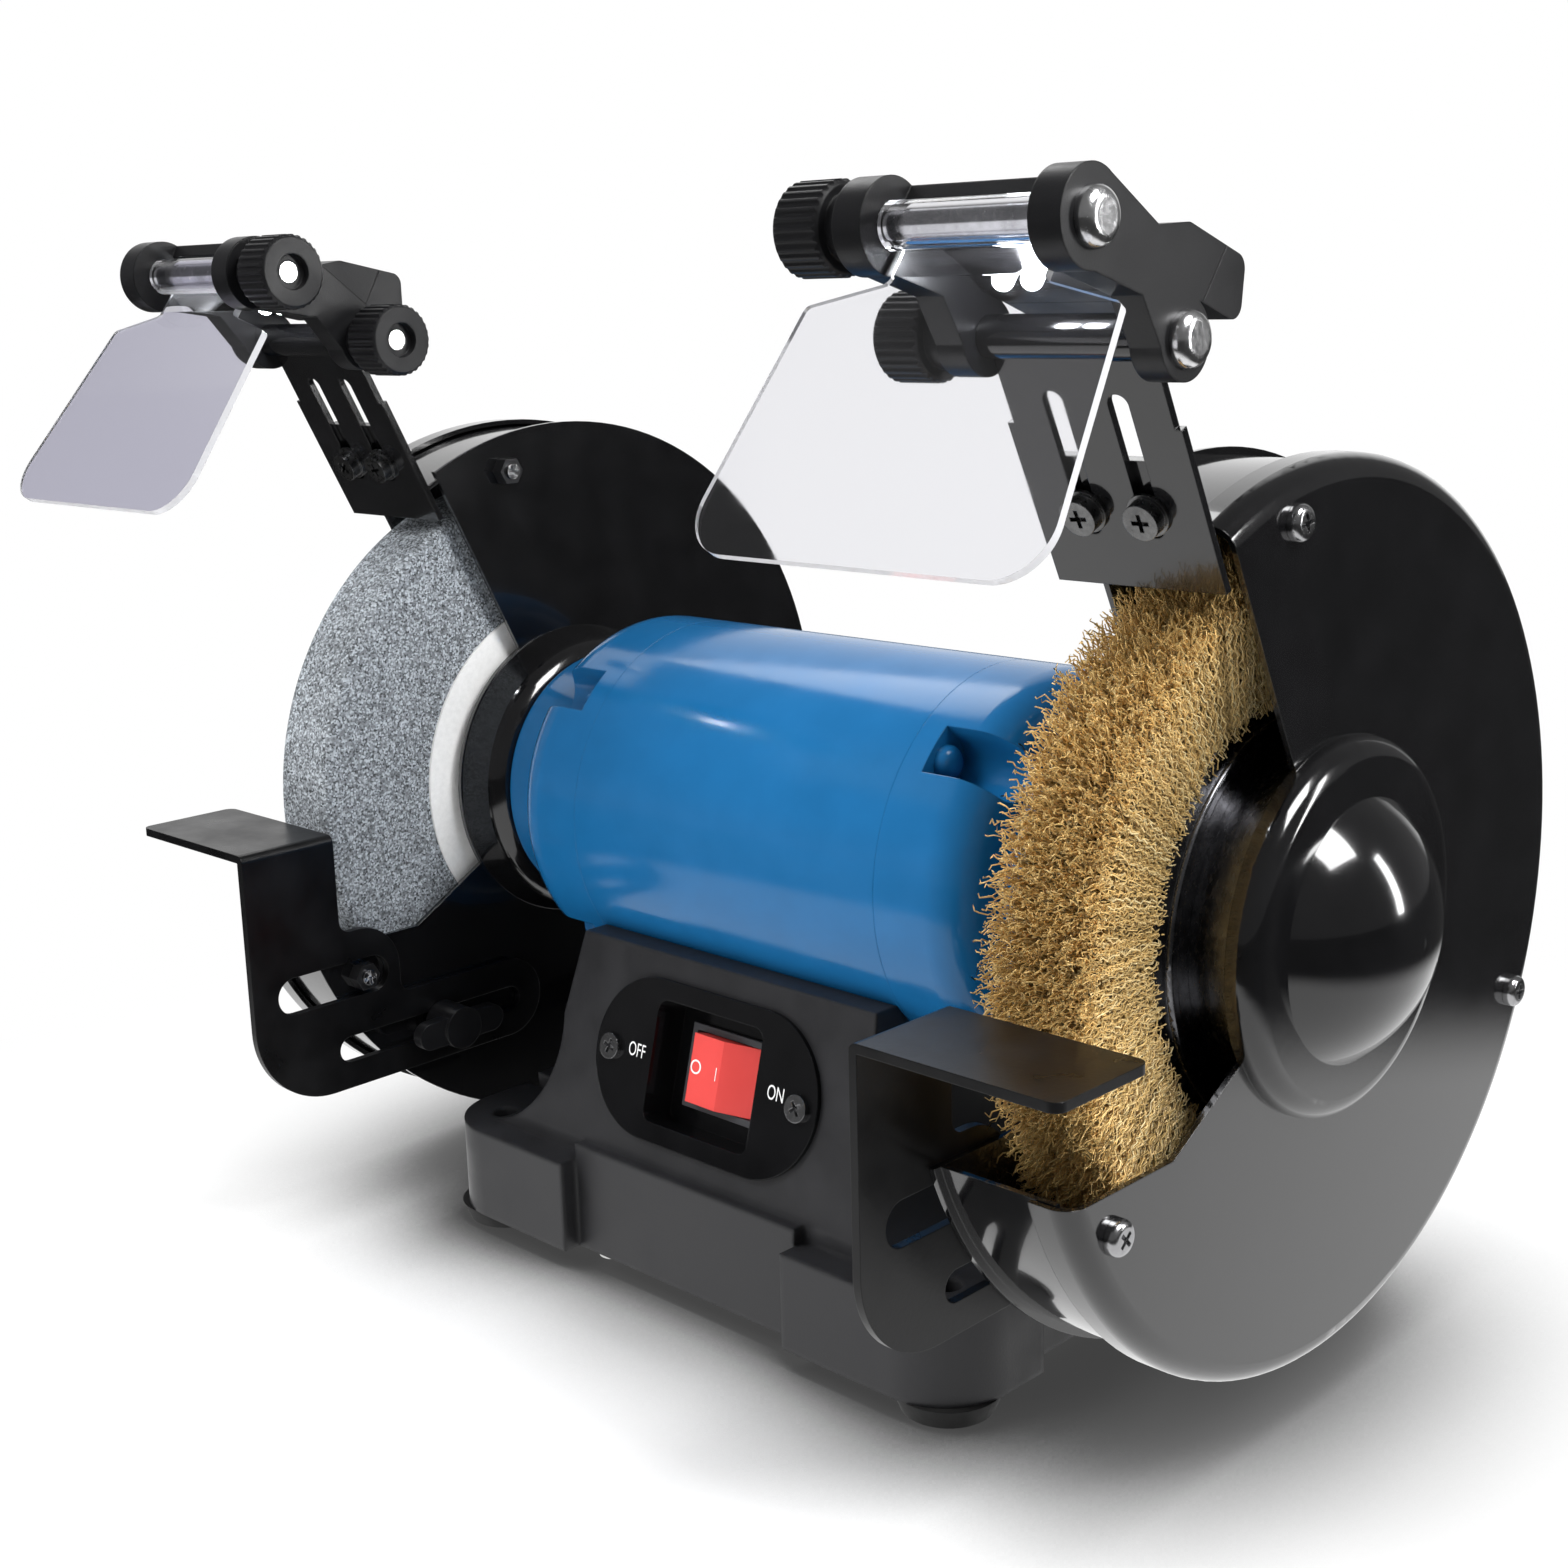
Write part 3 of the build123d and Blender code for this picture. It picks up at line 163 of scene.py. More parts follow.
class KnobSizes(bpy.types.PropertyGroup):
    """Sizes of the clamp knobs' grip and of the screws' cross recess."""

    flutes: IntProperty(name="Flutes", description="Grooves round a knob", default=30, min=3)
    flute_radius: length_property("Flute radius", "Half the width of a groove", 0.78 * MM)
    recess_arm: length_property("Recess arm", "Half the span of a screw's cross", 2.3 * MM)
    recess_width: length_property("Recess width", "Width of a screw's cross", 1.05 * MM)
    recess_depth: length_property("Recess depth", "Depth of a screw's cross", 1.5 * MM)


class StageSizes(bpy.types.PropertyGroup):
    """Sizes of the floor and its light."""

    floor_half: length_property("Floor", "Half the side of the floor", 6.0)
    sky: level_property("Sky", "Strength of the light from all round", 0.4)
    mirror_sky: level_property("Mirror sky", "Strength of the sky in the paint", 0.15)
    bright_reach: length_property("Bright floor", "Reach of the floor that shows in the paint", 0.38)
    key_power: power_property("Key", "Power of the right softbox", 14.0)
    strip_power: power_property("Strip", "Power of the strip light", 4.0)
    fill_power: power_property("Fill", "Power of the left softbox", 15.0)
    back_power: power_property("Back", "Power of the back strip", 1.5)
    bounce_power: power_property("Bounce", "Power of the floor's bounce", 1.5)


# Node helpers

def add_node(tree, kind, options=(), **inputs):
    """A node with its options and inputs set. An input is a plain value or another node's output."""
    made = tree.nodes.new(kind)
    for option, choice in dict(options).items():
        setattr(made, option, choice)
    for name, value in inputs.items():
        connect(tree, made.inputs[name.replace("_", " ")], value)
    return made


def connect(tree, socket, value):
    if isinstance(value, bpy.types.NodeSocket):
        tree.links.new(value, socket)
    else:
        socket.default_value = value


def operated(tree, kind, operation, *values):
    """A node that works on its values in order."""
    made = add_node(tree, kind, {"operation": operation})
    for socket, value in zip(made.inputs, values):
        connect(tree, socket, value)
    return made


def math_node(tree, operation, *values):
    return operated(tree, "ShaderNodeMath", operation, *values).outputs[0]


def vector_node(tree, operation, *values):
    return operated(tree, "ShaderNodeVectorMath", operation, *values).outputs[0]


def combined(tree, **parts):
    return add_node(tree, "ShaderNodeCombineXYZ", **parts).outputs[0]


def scaled(tree, vector, factor):
    made = add_node(tree, "ShaderNodeVectorMath", {"operation": "SCALE"}, Vector=vector, Scale=factor)
    return made.outputs[0]


def length_of(tree, vector):
    return operated(tree, "ShaderNodeVectorMath", "LENGTH", vector).outputs["Value"]


def dot_with(tree, vector, direction):
    """How far a vector points along a direction."""
    return operated(tree, "ShaderNodeVectorMath", "DOT_PRODUCT", vector, direction).outputs["Value"]


# Finishes

def opaque(colour, factor=1.0):
    return (*[min(1.0, part * factor) for part in colour], 1.0)


def start_finish(name):
    """A new material with its tree, its shader and its Object coordinates."""
    material = bpy.data.materials.new(name)
    material.use_nodes = True
    tree = material.node_tree
    shader = tree.nodes["Principled BSDF"]
    coordinates = tree.nodes.new("ShaderNodeTexCoord").outputs["Object"]
    return material, tree, shader, coordinates


def noise(tree, coordinates, scale, detail=3.0, rough=0.6, stretch=None):
    if stretch:
        coordinates = add_node(tree, "ShaderNodeMapping", Vector=coordinates, Scale=stretch).outputs[0]
    made = add_node(
        tree, "ShaderNodeTexNoise", Vector=coordinates, Scale=scale, Detail=detail, Roughness=rough
    )
    return made.outputs["Fac"]


def ramp(tree, factor, *stops):
    """Colours along a factor, each stop a place and a colour."""
    made = add_node(tree, "ShaderNodeValToRGB", Fac=factor)
    elements = made.color_ramp.elements
    while len(elements) < len(stops):
        elements.new(0.5)
    for element, (place, colour) in zip(elements, stops):
        element.position = place
        element.color = colour
    return made.outputs["Color"]


def ranged(tree, value, start, end, low, high, kind="LINEAR"):
    """A level that runs from low at the start of a value to high at its end."""
    made = add_node(tree, "ShaderNodeMapRange", {"interpolation_type": kind}, Value=value)
    made.inputs["From Min"].default_value = start
    made.inputs["From Max"].default_value = end
    made.inputs["To Min"].default_value = low
    made.inputs["To Max"].default_value = high
    return made.outputs["Result"]


def spread(tree, factor, low, high):
    """A level over the usual range of a noise."""
    return ranged(tree, factor, NOISE_LOW, NOISE_HIGH, low, high)


def two_tone(tree, factor, first, second):
    """Two colours over the usual range of a noise."""
    return ramp(tree, factor, (NOISE_LOW, first), (NOISE_HIGH, second))


def fade(tree, value, start, end, low, high):
    return ranged(tree, value, start, end, low, high, "SMOOTHSTEP")


def blend(tree, first, second, share):
    """Two values in one, the first by its share."""
    kept = math_node(tree, "MULTIPLY", first, share)
    return math_node(tree, "ADD", kept, math_node(tree, "MULTIPLY", second, 1 - share))


def darkened(tree, colour, level):
    """A colour times a level."""
    made = add_node(tree, "ShaderNodeMix", {"data_type": "RGBA", "blend_type": "MULTIPLY"})
    made.inputs["Factor"].default_value = 1.0
    tree.links.new(colour, made.inputs[6])
    tree.links.new(level, made.inputs[7])
    return made.outputs[2]


def rounded_edges(tree, radius):
    return add_node(tree, "ShaderNodeBevel", {"samples": 4}, Radius=radius).outputs["Normal"]


def bump(tree, height, strength, distance, normal=None):
    made = add_node(tree, "ShaderNodeBump", Height=height, Strength=strength, Distance=distance)
    if normal:
        tree.links.new(normal, made.inputs["Normal"])
    return made.outputs["Normal"]


def coated(
    name, colour, roughness, grain, depth, tone=0.25, edge=0.4 * MM, specular=0.5, coat=0.0, metallic=0.0
):
    """Paint, moulded plastic or plated metal: mottled colour, uneven gloss and a fine skin."""
    material, tree, shader, coordinates = start_finish(name)
    mottle = noise(tree, coordinates, 55.0)
    skin = noise(tree, coordinates, grain, detail=2.0)
    shade = two_tone(tree, mottle, opaque(colour, 1 - tone), opaque(colour, 1 + tone))
    tree.links.new(shade, shader.inputs["Base Color"])
    tree.links.new(spread(tree, mottle, roughness * 0.8, roughness * 1.25), shader.inputs["Roughness"])
    rounded = rounded_edges(tree, edge)
    tree.links.new(bump(tree, skin, 0.35, depth, rounded), shader.inputs["Normal"])
    shader.inputs["Specular IOR Level"].default_value = specular
    shader.inputs["Coat Weight"].default_value = coat
    shader.inputs["Coat Roughness"].default_value = 0.04
    shader.inputs["Metallic"].default_value = metallic
    return material


def turned_metal(name, colour, roughness, stretch, depth=0.02 * MM, tone=0.3):
    """Bare or plated metal with fine tool lines across the stretch."""
    material, tree, shader, coordinates = start_finish(name)
    lines = noise(tree, coordinates, 900.0, detail=4.0, stretch=stretch)
    stain = noise(tree, coordinates, 120.0)
    shade = two_tone(tree, stain, opaque(colour, 1 - tone), opaque(colour, 1 + 0.3 * tone))
    tree.links.new(shade, shader.inputs["Base Color"])
    tree.links.new(spread(tree, lines, roughness * 0.7, roughness * 1.4), shader.inputs["Roughness"])
    tree.links.new(bump(tree, lines, 0.3, depth, rounded_edges(tree, 0.3 * MM)), shader.inputs["Normal"])
    shader.inputs["Metallic"].default_value = 1.0
    return material


def abrasive(name, colour):
    """Bonded grains: dark and pale specks, pits between them."""
    material, tree, shader, coordinates = start_finish(name)
    grains = add_node(tree, "ShaderNodeTexVoronoi", Vector=coordinates, Scale=1700.0).outputs["Color"]
    tint = add_node(tree, "ShaderNodeSeparateColor", Color=grains).outputs["Red"]
    clumps = noise(tree, coordinates, 700.0, detail=5.0, rough=0.7)
    mixed = blend(tree, tint, clumps, 0.5)
    shade = ramp(
        tree,
        mixed,
        (0.24, opaque(colour, 0.2)),
        (0.42, opaque(colour, 0.85)),
        (0.56, opaque(colour, 1.2)),
        (0.76, opaque(colour, 2.5)),
    )
    tree.links.new(shade, shader.inputs["Base Color"])
    tree.links.new(bump(tree, mixed, 0.8, 0.3 * MM, rounded_edges(tree, 0.8 * MM)), shader.inputs["Normal"])
    shader.inputs["Roughness"].default_value = 0.85
    shader.inputs["Specular IOR Level"].default_value = 0.3
    return material


def brass_wire(name, colour, shade_low, shade_high):
    """Brass that varies from wire to wire, with painted shade that darkens it towards the brush's root,
    where the wires shade each other.
    """
    material, tree, shader, coordinates = start_finish(name)
    tone = add_node(tree, "ShaderNodeAttribute", {"attribute_name": "tone"}).outputs["Fac"]
    fine = noise(tree, coordinates, 1500.0, detail=2.0)
    mixed = blend(tree, tone, fine, 0.6)
    shade = ramp(
        tree,
        mixed,
        (0.15, opaque(colour, shade_low)),
        (0.5, opaque(colour, 1.0)),
        (0.85, opaque((1.0, 0.84, 0.47), shade_high)),
    )
    # Painted shade: the colour darkens towards the root, where the wires shade each other.
    axis = (0.0, brush_centre.y, brush_centre.z)
    offset = vector_node(tree, "SUBTRACT", coordinates, axis)
    flat = vector_node(tree, "MULTIPLY", offset, ACROSS_SPINDLE)
    depth = ranged(tree, length_of(tree, flat), 0.6 * brush_radius, 0.95 * brush_radius, 0.6, 1.0)
    tree.links.new(darkened(tree, shade, depth), shader.inputs["Base Color"])
    shader.inputs["Metallic"].default_value = 0.15
    shader.inputs["Roughness"].default_value = 0.28
    return material


def clear_sheet(name):
    """Clear plastic with faint wipe marks and pale cut edges below its hinge."""
    material, tree, shader, coordinates = start_finish(name)
    marks = noise(tree, coordinates, 40.0, detail=6.0, stretch=(1.0, 6.0, 1.0))
    tree.links.new(spread(tree, marks, 0.0, 0.05), shader.inputs["Roughness"])
    normal = tree.nodes.new("ShaderNodeTexCoord").outputs["Normal"]
    facing = math_node(tree, "ABSOLUTE", dot_with(tree, normal, shield_facing))
    side = fade(tree, facing, 0.5, 0.9, 1.0, 0.0)
    height = add_node(tree, "ShaderNodeSeparateXYZ", Vector=coordinates).outputs["Z"]
    below = fade(tree, height, shield_top - HINGE_START, shield_top - HINGE_FULL, 1.0, 0.0)
    edge = math_node(tree, "MULTIPLY", side, below)
    tree.links.new(fade(tree, edge, 0.0, 1.0, 1.0, 0.35), shader.inputs["Transmission Weight"])
    shader.inputs["Base Color"].default_value = (0.93, 0.93, 0.96, 1.0)
    shader.inputs["IOR"].default_value = 1.49
    return material


def lit_lens(name):
    """A lit lamp's lens, white with a cold grain."""
    material, tree, shader, coordinates = start_finish(name)
    grain = noise(tree, coordinates, 700.0)
    glow = two_tone(tree, grain, (0.85, 0.92, 1.0, 1.0), WHITE)
    tree.links.new(glow, shader.inputs["Emission Color"])
    shader.inputs["Emission Strength"].default_value = 60.0
    shader.inputs["Roughness"].default_value = 0.15
    return material


def paper(name):
    """Pale card with its fibres."""
    material, tree, shader, coordinates = start_finish(name)
    fibre = noise(tree, coordinates, 500.0, detail=6.0, rough=0.7)
    shade = two_tone(tree, fibre, (0.84, 0.84, 0.83, 1.0), (0.94, 0.94, 0.93, 1.0))
    tree.links.new(shade, shader.inputs["Base Color"])
    tree.links.new(bump(tree, fibre, 0.4, 0.05 * MM), shader.inputs["Normal"])
    shader.inputs["Roughness"].default_value = 0.75
    return material


def make_finishes(colours):
    """Every finish by the record's material slot, or by a name of its own."""
    steel = (0.56, 0.56, 0.55)
    pale_steel = (0.72, 0.72, 0.71)
    round_x = (0.05, 1.0, 1.0)
    return {
        "motor_blue": coated("motor_enamel", colours.motor, 0.14, 380.0, 0.05 * MM, 0.06, 0.6 * MM, 0.4),
        "guard_black": coated(
            "guard_enamel", colours.guard, 0.13, 420.0, 0.04 * MM, 0.3, 0.5 * MM, 0.5, coat=0.7
        ),
        "base_black": coated("base_coating", colours.base, 0.42, 1500.0, 0.12 * MM, 0.2, 2.2 * MM, 0.4),
        "switch_black": coated(
            "switch_plate_gloss", colours.guard, 0.12, 500.0, 0.03 * MM, 0.3, 0.5 * MM, 0.4
        ),
        "bezel_grey": coated(
            "switch_bezel", (0.055, 0.055, 0.06), 0.35, 1500.0, 0.04 * MM, 0.1, 0.4 * MM, 0.4
        ),
        "table_black": coated("rest_coating", colours.guard, 0.32, 700.0, 0.08 * MM, 0.5, 0.4 * MM, 0.3),
        "black_plastic": coated(
            "moulded_plastic", colours.plastic, 0.36, 1800.0, 0.08 * MM, 0.2, 0.6 * MM, 0.35
        ),
        "rubber": coated("foot_rubber", (0.018, 0.018, 0.018), 0.7, 900.0, 0.15 * MM, 0.25, 0.5 * MM, 0.3),
        "red_plastic": coated("rocker_plastic", colours.rocker, 0.22, 900.0, 0.02 * MM, 0.05, 0.4 * MM, 0.5),
        "black_screw": coated("blacked_screw", (0.03, 0.03, 0.032), 0.3, 1200.0, 0.04 * MM, metallic=0.6),
        "capacitor_can": coated("capacitor_can", (0.55, 0.55, 0.56), 0.4, 600.0, 0.03 * MM, 0.1),
        "copper": coated("winding_copper", (0.55, 0.22, 0.09), 0.3, 1500.0, 0.3 * MM, metallic=0.8),
        "sheet_steel": turned_metal("sheet_steel", steel, 0.35, (1.0, 12.0, 1.0)),
        "zinc": turned_metal("zinc_plate", pale_steel, 0.28, (1.0, 1.0, 3.0)),
        "shaft_steel": turned_metal("turned_steel", steel, 0.26, round_x),
        "bearing_steel": turned_metal("bearing_steel", pale_steel, 0.12, round_x),
        "laminations": turned_metal("laminations", (0.2, 0.2, 0.21), 0.5, (20.0, 1.0, 1.0), 0.1 * MM),
        "terminal_brass": turned_metal("terminal_brass", (0.75, 0.55, 0.24), 0.3, (1.0, 8.0, 1.0)),
        "abrasive": abrasive("bonded_abrasive", colours.wheel),
        "paper": paper("blotter_paper"),
        "brass_wire": brass_wire("brush_wire", colours.wire, 0.45, 1.0),
        # Painted shade: the core is the wire brass darkened to stand for the shaded gaps between the wires.
        "brush_core": brass_wire("brush_core", colours.wire, 0.1, 0.3),
        "clear_shield": clear_sheet("clear_shield"),
        "lens": lit_lens("lamp_lens"),
        "dark_disc": turned_metal("brush_disc_steel", (0.18, 0.18, 0.19), 0.24, (1.0, 0.3, 0.3), tone=0.4),
        "dull_screw": turned_metal("dull_screw", (0.2, 0.2, 0.2), 0.3, EVEN),
        "bright_screw": turned_metal("bright_screw", (0.5, 0.5, 0.51), 0.2, EVEN),
        "mark": coated("printed_mark", colours.mark, 0.5, 900.0, 0.01 * MM, 0.05),
        "bright_bolt": turned_metal("bright_bolt", (0.8, 0.8, 0.81), 0.2, EVEN),
    }


# Mesh helpers

def body_of_node(node):
    return body_of(frame["nodes"][node])[0]


def piece_from(mesh, name, body, material, slot, *replaced):
    """An object for a finished mesh, set on its body and standing for the nodes it replaces."""
    piece = bpy.data.objects.new(name, mesh)
    bpy.context.collection.objects.link(piece)
    mesh.materials.clear()
    mesh.materials.append(material)
    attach(piece, body)
    if replaced:
        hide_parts(*replaced)


def baked(thing):
    """The plain mesh of an object with its modifiers, and the object gone."""
    graph = bpy.context.evaluated_depsgraph_get()
    graph.update()
    mesh = bpy.data.meshes.new_from_object(
        thing.evaluated_get(graph), preserve_all_data_layers=True, depsgraph=graph
    )
    bpy.data.objects.remove(thing)
    return mesh


def temporary(mesh):
    thing = bpy.data.objects.new(mesh.name, mesh)
    bpy.context.collection.objects.link(thing)
    return thing


def smooth(mesh):
    """Soft faces with sharp creases kept."""
    for polygon in mesh.polygons:
        polygon.use_smooth = True
    mesh.set_sharp_from_angle(angle=SHARP_ANGLE)
    return mesh


def welded_copy(node):
    """A closed copy of a CAD node's mesh."""
    mesh = frame["nodes"][node].data.copy()
    if "custom_normal" in mesh.attributes:
        mesh.attributes.remove(mesh.attributes["custom_normal"])
    work = bmesh.new()
    work.from_mesh(mesh)
    bmesh.ops.remove_doubles(work, verts=work.verts, dist=WELD_REACH)
    bmesh.ops.dissolve_degenerate(work, edges=work.edges, dist=WELD_REACH)
    work.to_mesh(mesh)
    work.free()
    return mesh


def cut_node(node, cutters):
    """A node's shape with the cutters taken out of it."""
    thing = temporary(welded_copy(node))
    tool = temporary(cutters)
    modifier = thing.modifiers.new("cut", "BOOLEAN")
    modifier.operation = "DIFFERENCE"
    modifier.solver = "EXACT"
    modifier.use_self = True
    modifier.object = tool
    mesh = baked(thing)
    bpy.data.objects.remove(tool)
    return smooth(mesh)


def clusters(node, gap):
    """Lowest and highest corner of each fastener in a node, told apart by the gap between them."""
    groups = []
    for vertex in frame["nodes"][node].data.vertices:
        point = vertex.co
        near = [g for g in groups if all(g[0][i] - gap < point[i] < g[1][i] + gap for i in range(3))]
        low = point.copy()
        high = point.copy()
        for group in near:
            low = Vector(map(min, low, group[0]))
            high = Vector(map(max, high, group[1]))
            groups.remove(group)
        groups.append((low, high))
    return groups


def spun(name, profile, centre, steps):
    """A closed ring about the spindle: each profile point is a place along X and a radius."""
    work = bmesh.new()
    rings = []
    for x, radius in profile:
        ring = []
        for step in range(steps):
            angle = FULL_TURN * step / steps
            place = (x, centre.y + radius * math.cos(angle), centre.z + radius * math.sin(angle))
            ring.append(work.verts.new(place))
        rings.append(ring)
    for ring, following in zip(rings, rings[1:] + rings[:1]):
        for step in range(steps):
            after = (step + 1) % steps
            work.faces.new((ring[step], ring[after], following[after], following[step]))
    bmesh.ops.recalc_face_normals(work, faces=work.faces)
    mesh = bpy.data.meshes.new(name)
    work.to_mesh(mesh)
    work.free()
    return smooth(mesh)


# Geometry node trees

def new_tree(name, **inputs):
    """A geometry tree with named inputs, its input node and its output node."""
    tree = bpy.data.node_groups.new(name, "GeometryNodeTree")
    tree.interface.new_socket("Geometry", in_out="INPUT", socket_type="NodeSocketGeometry")
    for label, kind in inputs.items():
        tree.interface.new_socket(label.replace("_", " "), in_out="INPUT", socket_type=f"NodeSocket{kind}")
    tree.interface.new_socket("Geometry", in_out="OUTPUT", socket_type="NodeSocketGeometry")
    return tree, tree.nodes.new("NodeGroupInput").outputs, tree.nodes.new("NodeGroupOutput")


def grown(name, mesh, tree, **values):
    """The plain mesh that a tree makes on a mesh."""
    thing = temporary(mesh)
    modifier = thing.modifiers.new(name, "NODES")
    modifier.node_group = tree
    for item in tree.interface.items_tree:
        key = item.name.replace(" ", "_")
        if item.in_out == "INPUT" and key in values:
            modifier[item.identifier] = values[key]
    made = baked(thing)
    made.name = name
    return made


def chance(tree, low, high, seed, salt):
    """A number for each point, the same every time."""
    made = add_node(tree, "FunctionNodeRandomValue", {"data_type": "FLOAT"})
    made.inputs[2].default_value = low
    made.inputs[3].default_value = high
    tree.links.new(math_node(tree, "ADD", seed, salt), made.inputs["Seed"])
    return made.outputs[1]


def rolled(tree, direction, angle):
    """The turn that points Z along a direction and rolls about it."""
    aim = add_node(tree, "FunctionNodeAlignRotationToVector", {"axis": "Z"}, Vector=direction).outputs[0]
    roll = add_node(tree, "FunctionNodeAxisAngleToRotation", Axis=(0.0, 0.0, 1.0), Angle=angle).outputs[0]
    local = {"rotation_space": "LOCAL"}
    return add_node(tree, "FunctionNodeRotateRotation", local, Rotation=aim, Rotate_By=roll).outputs[0]


def crimped_wire(tree, given, turn):
    """One wavy wire along Z, as an instance."""
    line = add_node(tree, "GeometryNodeCurvePrimitiveLine")
    tree.links.new(combined(tree, Z=given["Length"]), line.inputs["End"])
    even = add_node(tree, "GeometryNodeResampleCurve", Curve=line.outputs[0], Count=given["Points"])
    index = tree.nodes.new("GeometryNodeInputIndex").outputs[0]
    zigzag = math_node(tree, "SINE", math_node(tree, "MULTIPLY_ADD", index, 2.5 + 0.2 * turn, turn))
    sway = math_node(tree, "COSINE", math_node(tree, "MULTIPLY_ADD", index, 1.9 - 0.25 * turn, 2 * turn))
    offset = combined(
        tree,
        X=math_node(tree, "MULTIPLY", zigzag, given["Crimp"]),
        Y=math_node(tree, "MULTIPLY", sway, given["Crimp"]),
    )
    waved = add_node(tree, "GeometryNodeSetPosition", Geometry=even.outputs[0], Offset=offset)
    ring = add_node(tree, "GeometryNodeCurvePrimitiveCircle", Resolution=3, Radius=given["Wire Radius"])
    tube = add_node(tree, "GeometryNodeCurveToMesh", Curve=waved.outputs[0], Profile_Curve=ring.outputs[0])
    tube.inputs["Fill Caps"].default_value = True
    return add_node(tree, "GeometryNodeGeometryToInstance", Geometry=tube.outputs[0]).outputs[0]


def wire_tree():
    """Crimped wires that fan out from a ring about the spindle."""
    tree, given, out = new_tree(
        "brush wires",
        Count="Int", Points="Int", Seed="Int", Length="Float", Crimp="Float", Wire_Radius="Float",
        Centre="Vector", Root_Radius="Float", Root_Low="Float", Root_High="Float", Tip_Radius="Float",
        Flare="Float", Lean="Float", Spare="Float", Uneven="Float", Side_Limit="Float", Material="Material",
    )
    seed = given["Seed"]
    points = add_node(tree, "GeometryNodePoints", Count=given["Count"]).outputs[0]
    angle = chance(tree, 0.0, FULL_TURN, seed, 1)
    across = add_node(tree, "ShaderNodeMapRange", Value=chance(tree, 0.0, 1.0, seed, 2))
    tree.links.new(given["Root Low"], across.inputs["To Min"])
    tree.links.new(given["Root High"], across.inputs["To Max"])
    root_x = across.outputs["Result"]
    spoke = combined(tree, Y=math_node(tree, "COSINE", angle), Z=math_node(tree, "SINE", angle))
    shift = math_node(tree, "MULTIPLY", chance(tree, -1.0, 1.0, seed, 3), given["Lean"])
    root_reach = math_node(tree, "ADD", given["Root Radius"], shift)
    root = vector_node(tree, "ADD", scaled(tree, spoke, root_reach), combined(tree, X=root_x))
    tip_x = combined(tree, X=math_node(tree, "MULTIPLY", root_x, given["Flare"]))
    tip = vector_node(tree, "ADD", scaled(tree, spoke, given["Tip Radius"]), tip_x)
    stray = combined(
        tree,
        X=chance(tree, -1.0, 1.0, seed, 4),
        Y=chance(tree, -1.0, 1.0, seed, 5),
        Z=chance(tree, -1.0, 1.0, seed, 6),
    )
    strayed = scaled(tree, stray, given["Lean"])
    run = vector_node(tree, "ADD", vector_node(tree, "SUBTRACT", tip, root), strayed)
    turned = rolled(tree, run, chance(tree, 0.0, FULL_TURN, seed, 7))
    placed = add_node(
        tree,
        "GeometryNodeSetPosition",
        Geometry=points,
        Position=vector_node(tree, "ADD", root, given["Centre"]),
    ).outputs[0]
    kinds = tree.nodes.new("GeometryNodeJoinGeometry")
    for turn in range(3):
        tree.links.new(crimped_wire(tree, given, turn), kinds.inputs[0])
    pick = add_node(tree, "FunctionNodeRandomValue", {"data_type": "INT"})
    pick.inputs[4].default_value = 0
    pick.inputs[5].default_value = 2
    tree.links.new(seed, pick.inputs["Seed"])
    stood = add_node(
        tree,
        "GeometryNodeInstanceOnPoints",
        Points=placed,
        Instance=kinds.outputs[0],
        Pick_Instance=True,
        Instance_Index=pick.outputs[2],
        Rotation=turned,
    )
    tree.links.new(chance(tree, 0.82, 1.12, seed, 8), stood.inputs["Scale"])
    toned = add_node(
        tree,
        "GeometryNodeStoreNamedAttribute",
        {"data_type": "FLOAT", "domain": "INSTANCE"},
        Geometry=stood.outputs[0],
        Name="tone",
    )
    tree.links.new(chance(tree, 0.0, 1.0, seed, 9), toned.inputs["Value"])
    real = add_node(tree, "GeometryNodeRealizeInstances", Geometry=toned.outputs[0]).outputs[0]
    finish_tree(tree, trimmed(tree, real, given), given, out)
    return tree


def trimmed(tree, wires, given):
    """Wires cut to uneven lengths, clear of the tool rest and the guard."""
    named = add_node(tree, "GeometryNodeInputNamedAttribute", {"data_type": "FLOAT"}, Name="tone")
    short = math_node(tree, "MULTIPLY", named.outputs["Attribute"], given["Uneven"])
    longest = math_node(tree, "SUBTRACT", math_node(tree, "ADD", given["Tip Radius"], given["Spare"]), short)
    position = tree.nodes.new("GeometryNodeInputPosition").outputs[0]
    place = vector_node(tree, "SUBTRACT", position, given["Centre"])
    flat = vector_node(tree, "MULTIPLY", place, ACROSS_SPINDLE)
    kept = math_node(tree, "MINIMUM", 1.0, math_node(tree, "DIVIDE", longest, length_of(tree, flat)))
    radial = scaled(tree, flat, kept)
    side = add_node(tree, "ShaderNodeSeparateXYZ", Vector=place).outputs["X"]
    inner = math_node(tree, "MULTIPLY", given["Side Limit"], -1.0)
    held = math_node(tree, "MAXIMUM", inner, math_node(tree, "MINIMUM", side, given["Side Limit"]))
    across = vector_node(tree, "ADD", radial, combined(tree, X=held))
    ended = vector_node(tree, "ADD", across, given["Centre"])
    return add_node(tree, "GeometryNodeSetPosition", Geometry=wires, Position=ended).outputs[0]


def finish_tree(tree, shapes, given, out):
    real = add_node(tree, "GeometryNodeRealizeInstances", Geometry=shapes).outputs[0]
    soft = add_node(tree, "GeometryNodeSetShadeSmooth", Geometry=real).outputs[0]
    painted = add_node(tree, "GeometryNodeSetMaterial", Geometry=soft, Material=given["Material"]).outputs[0]
    tree.links.new(painted, out.inputs[0])


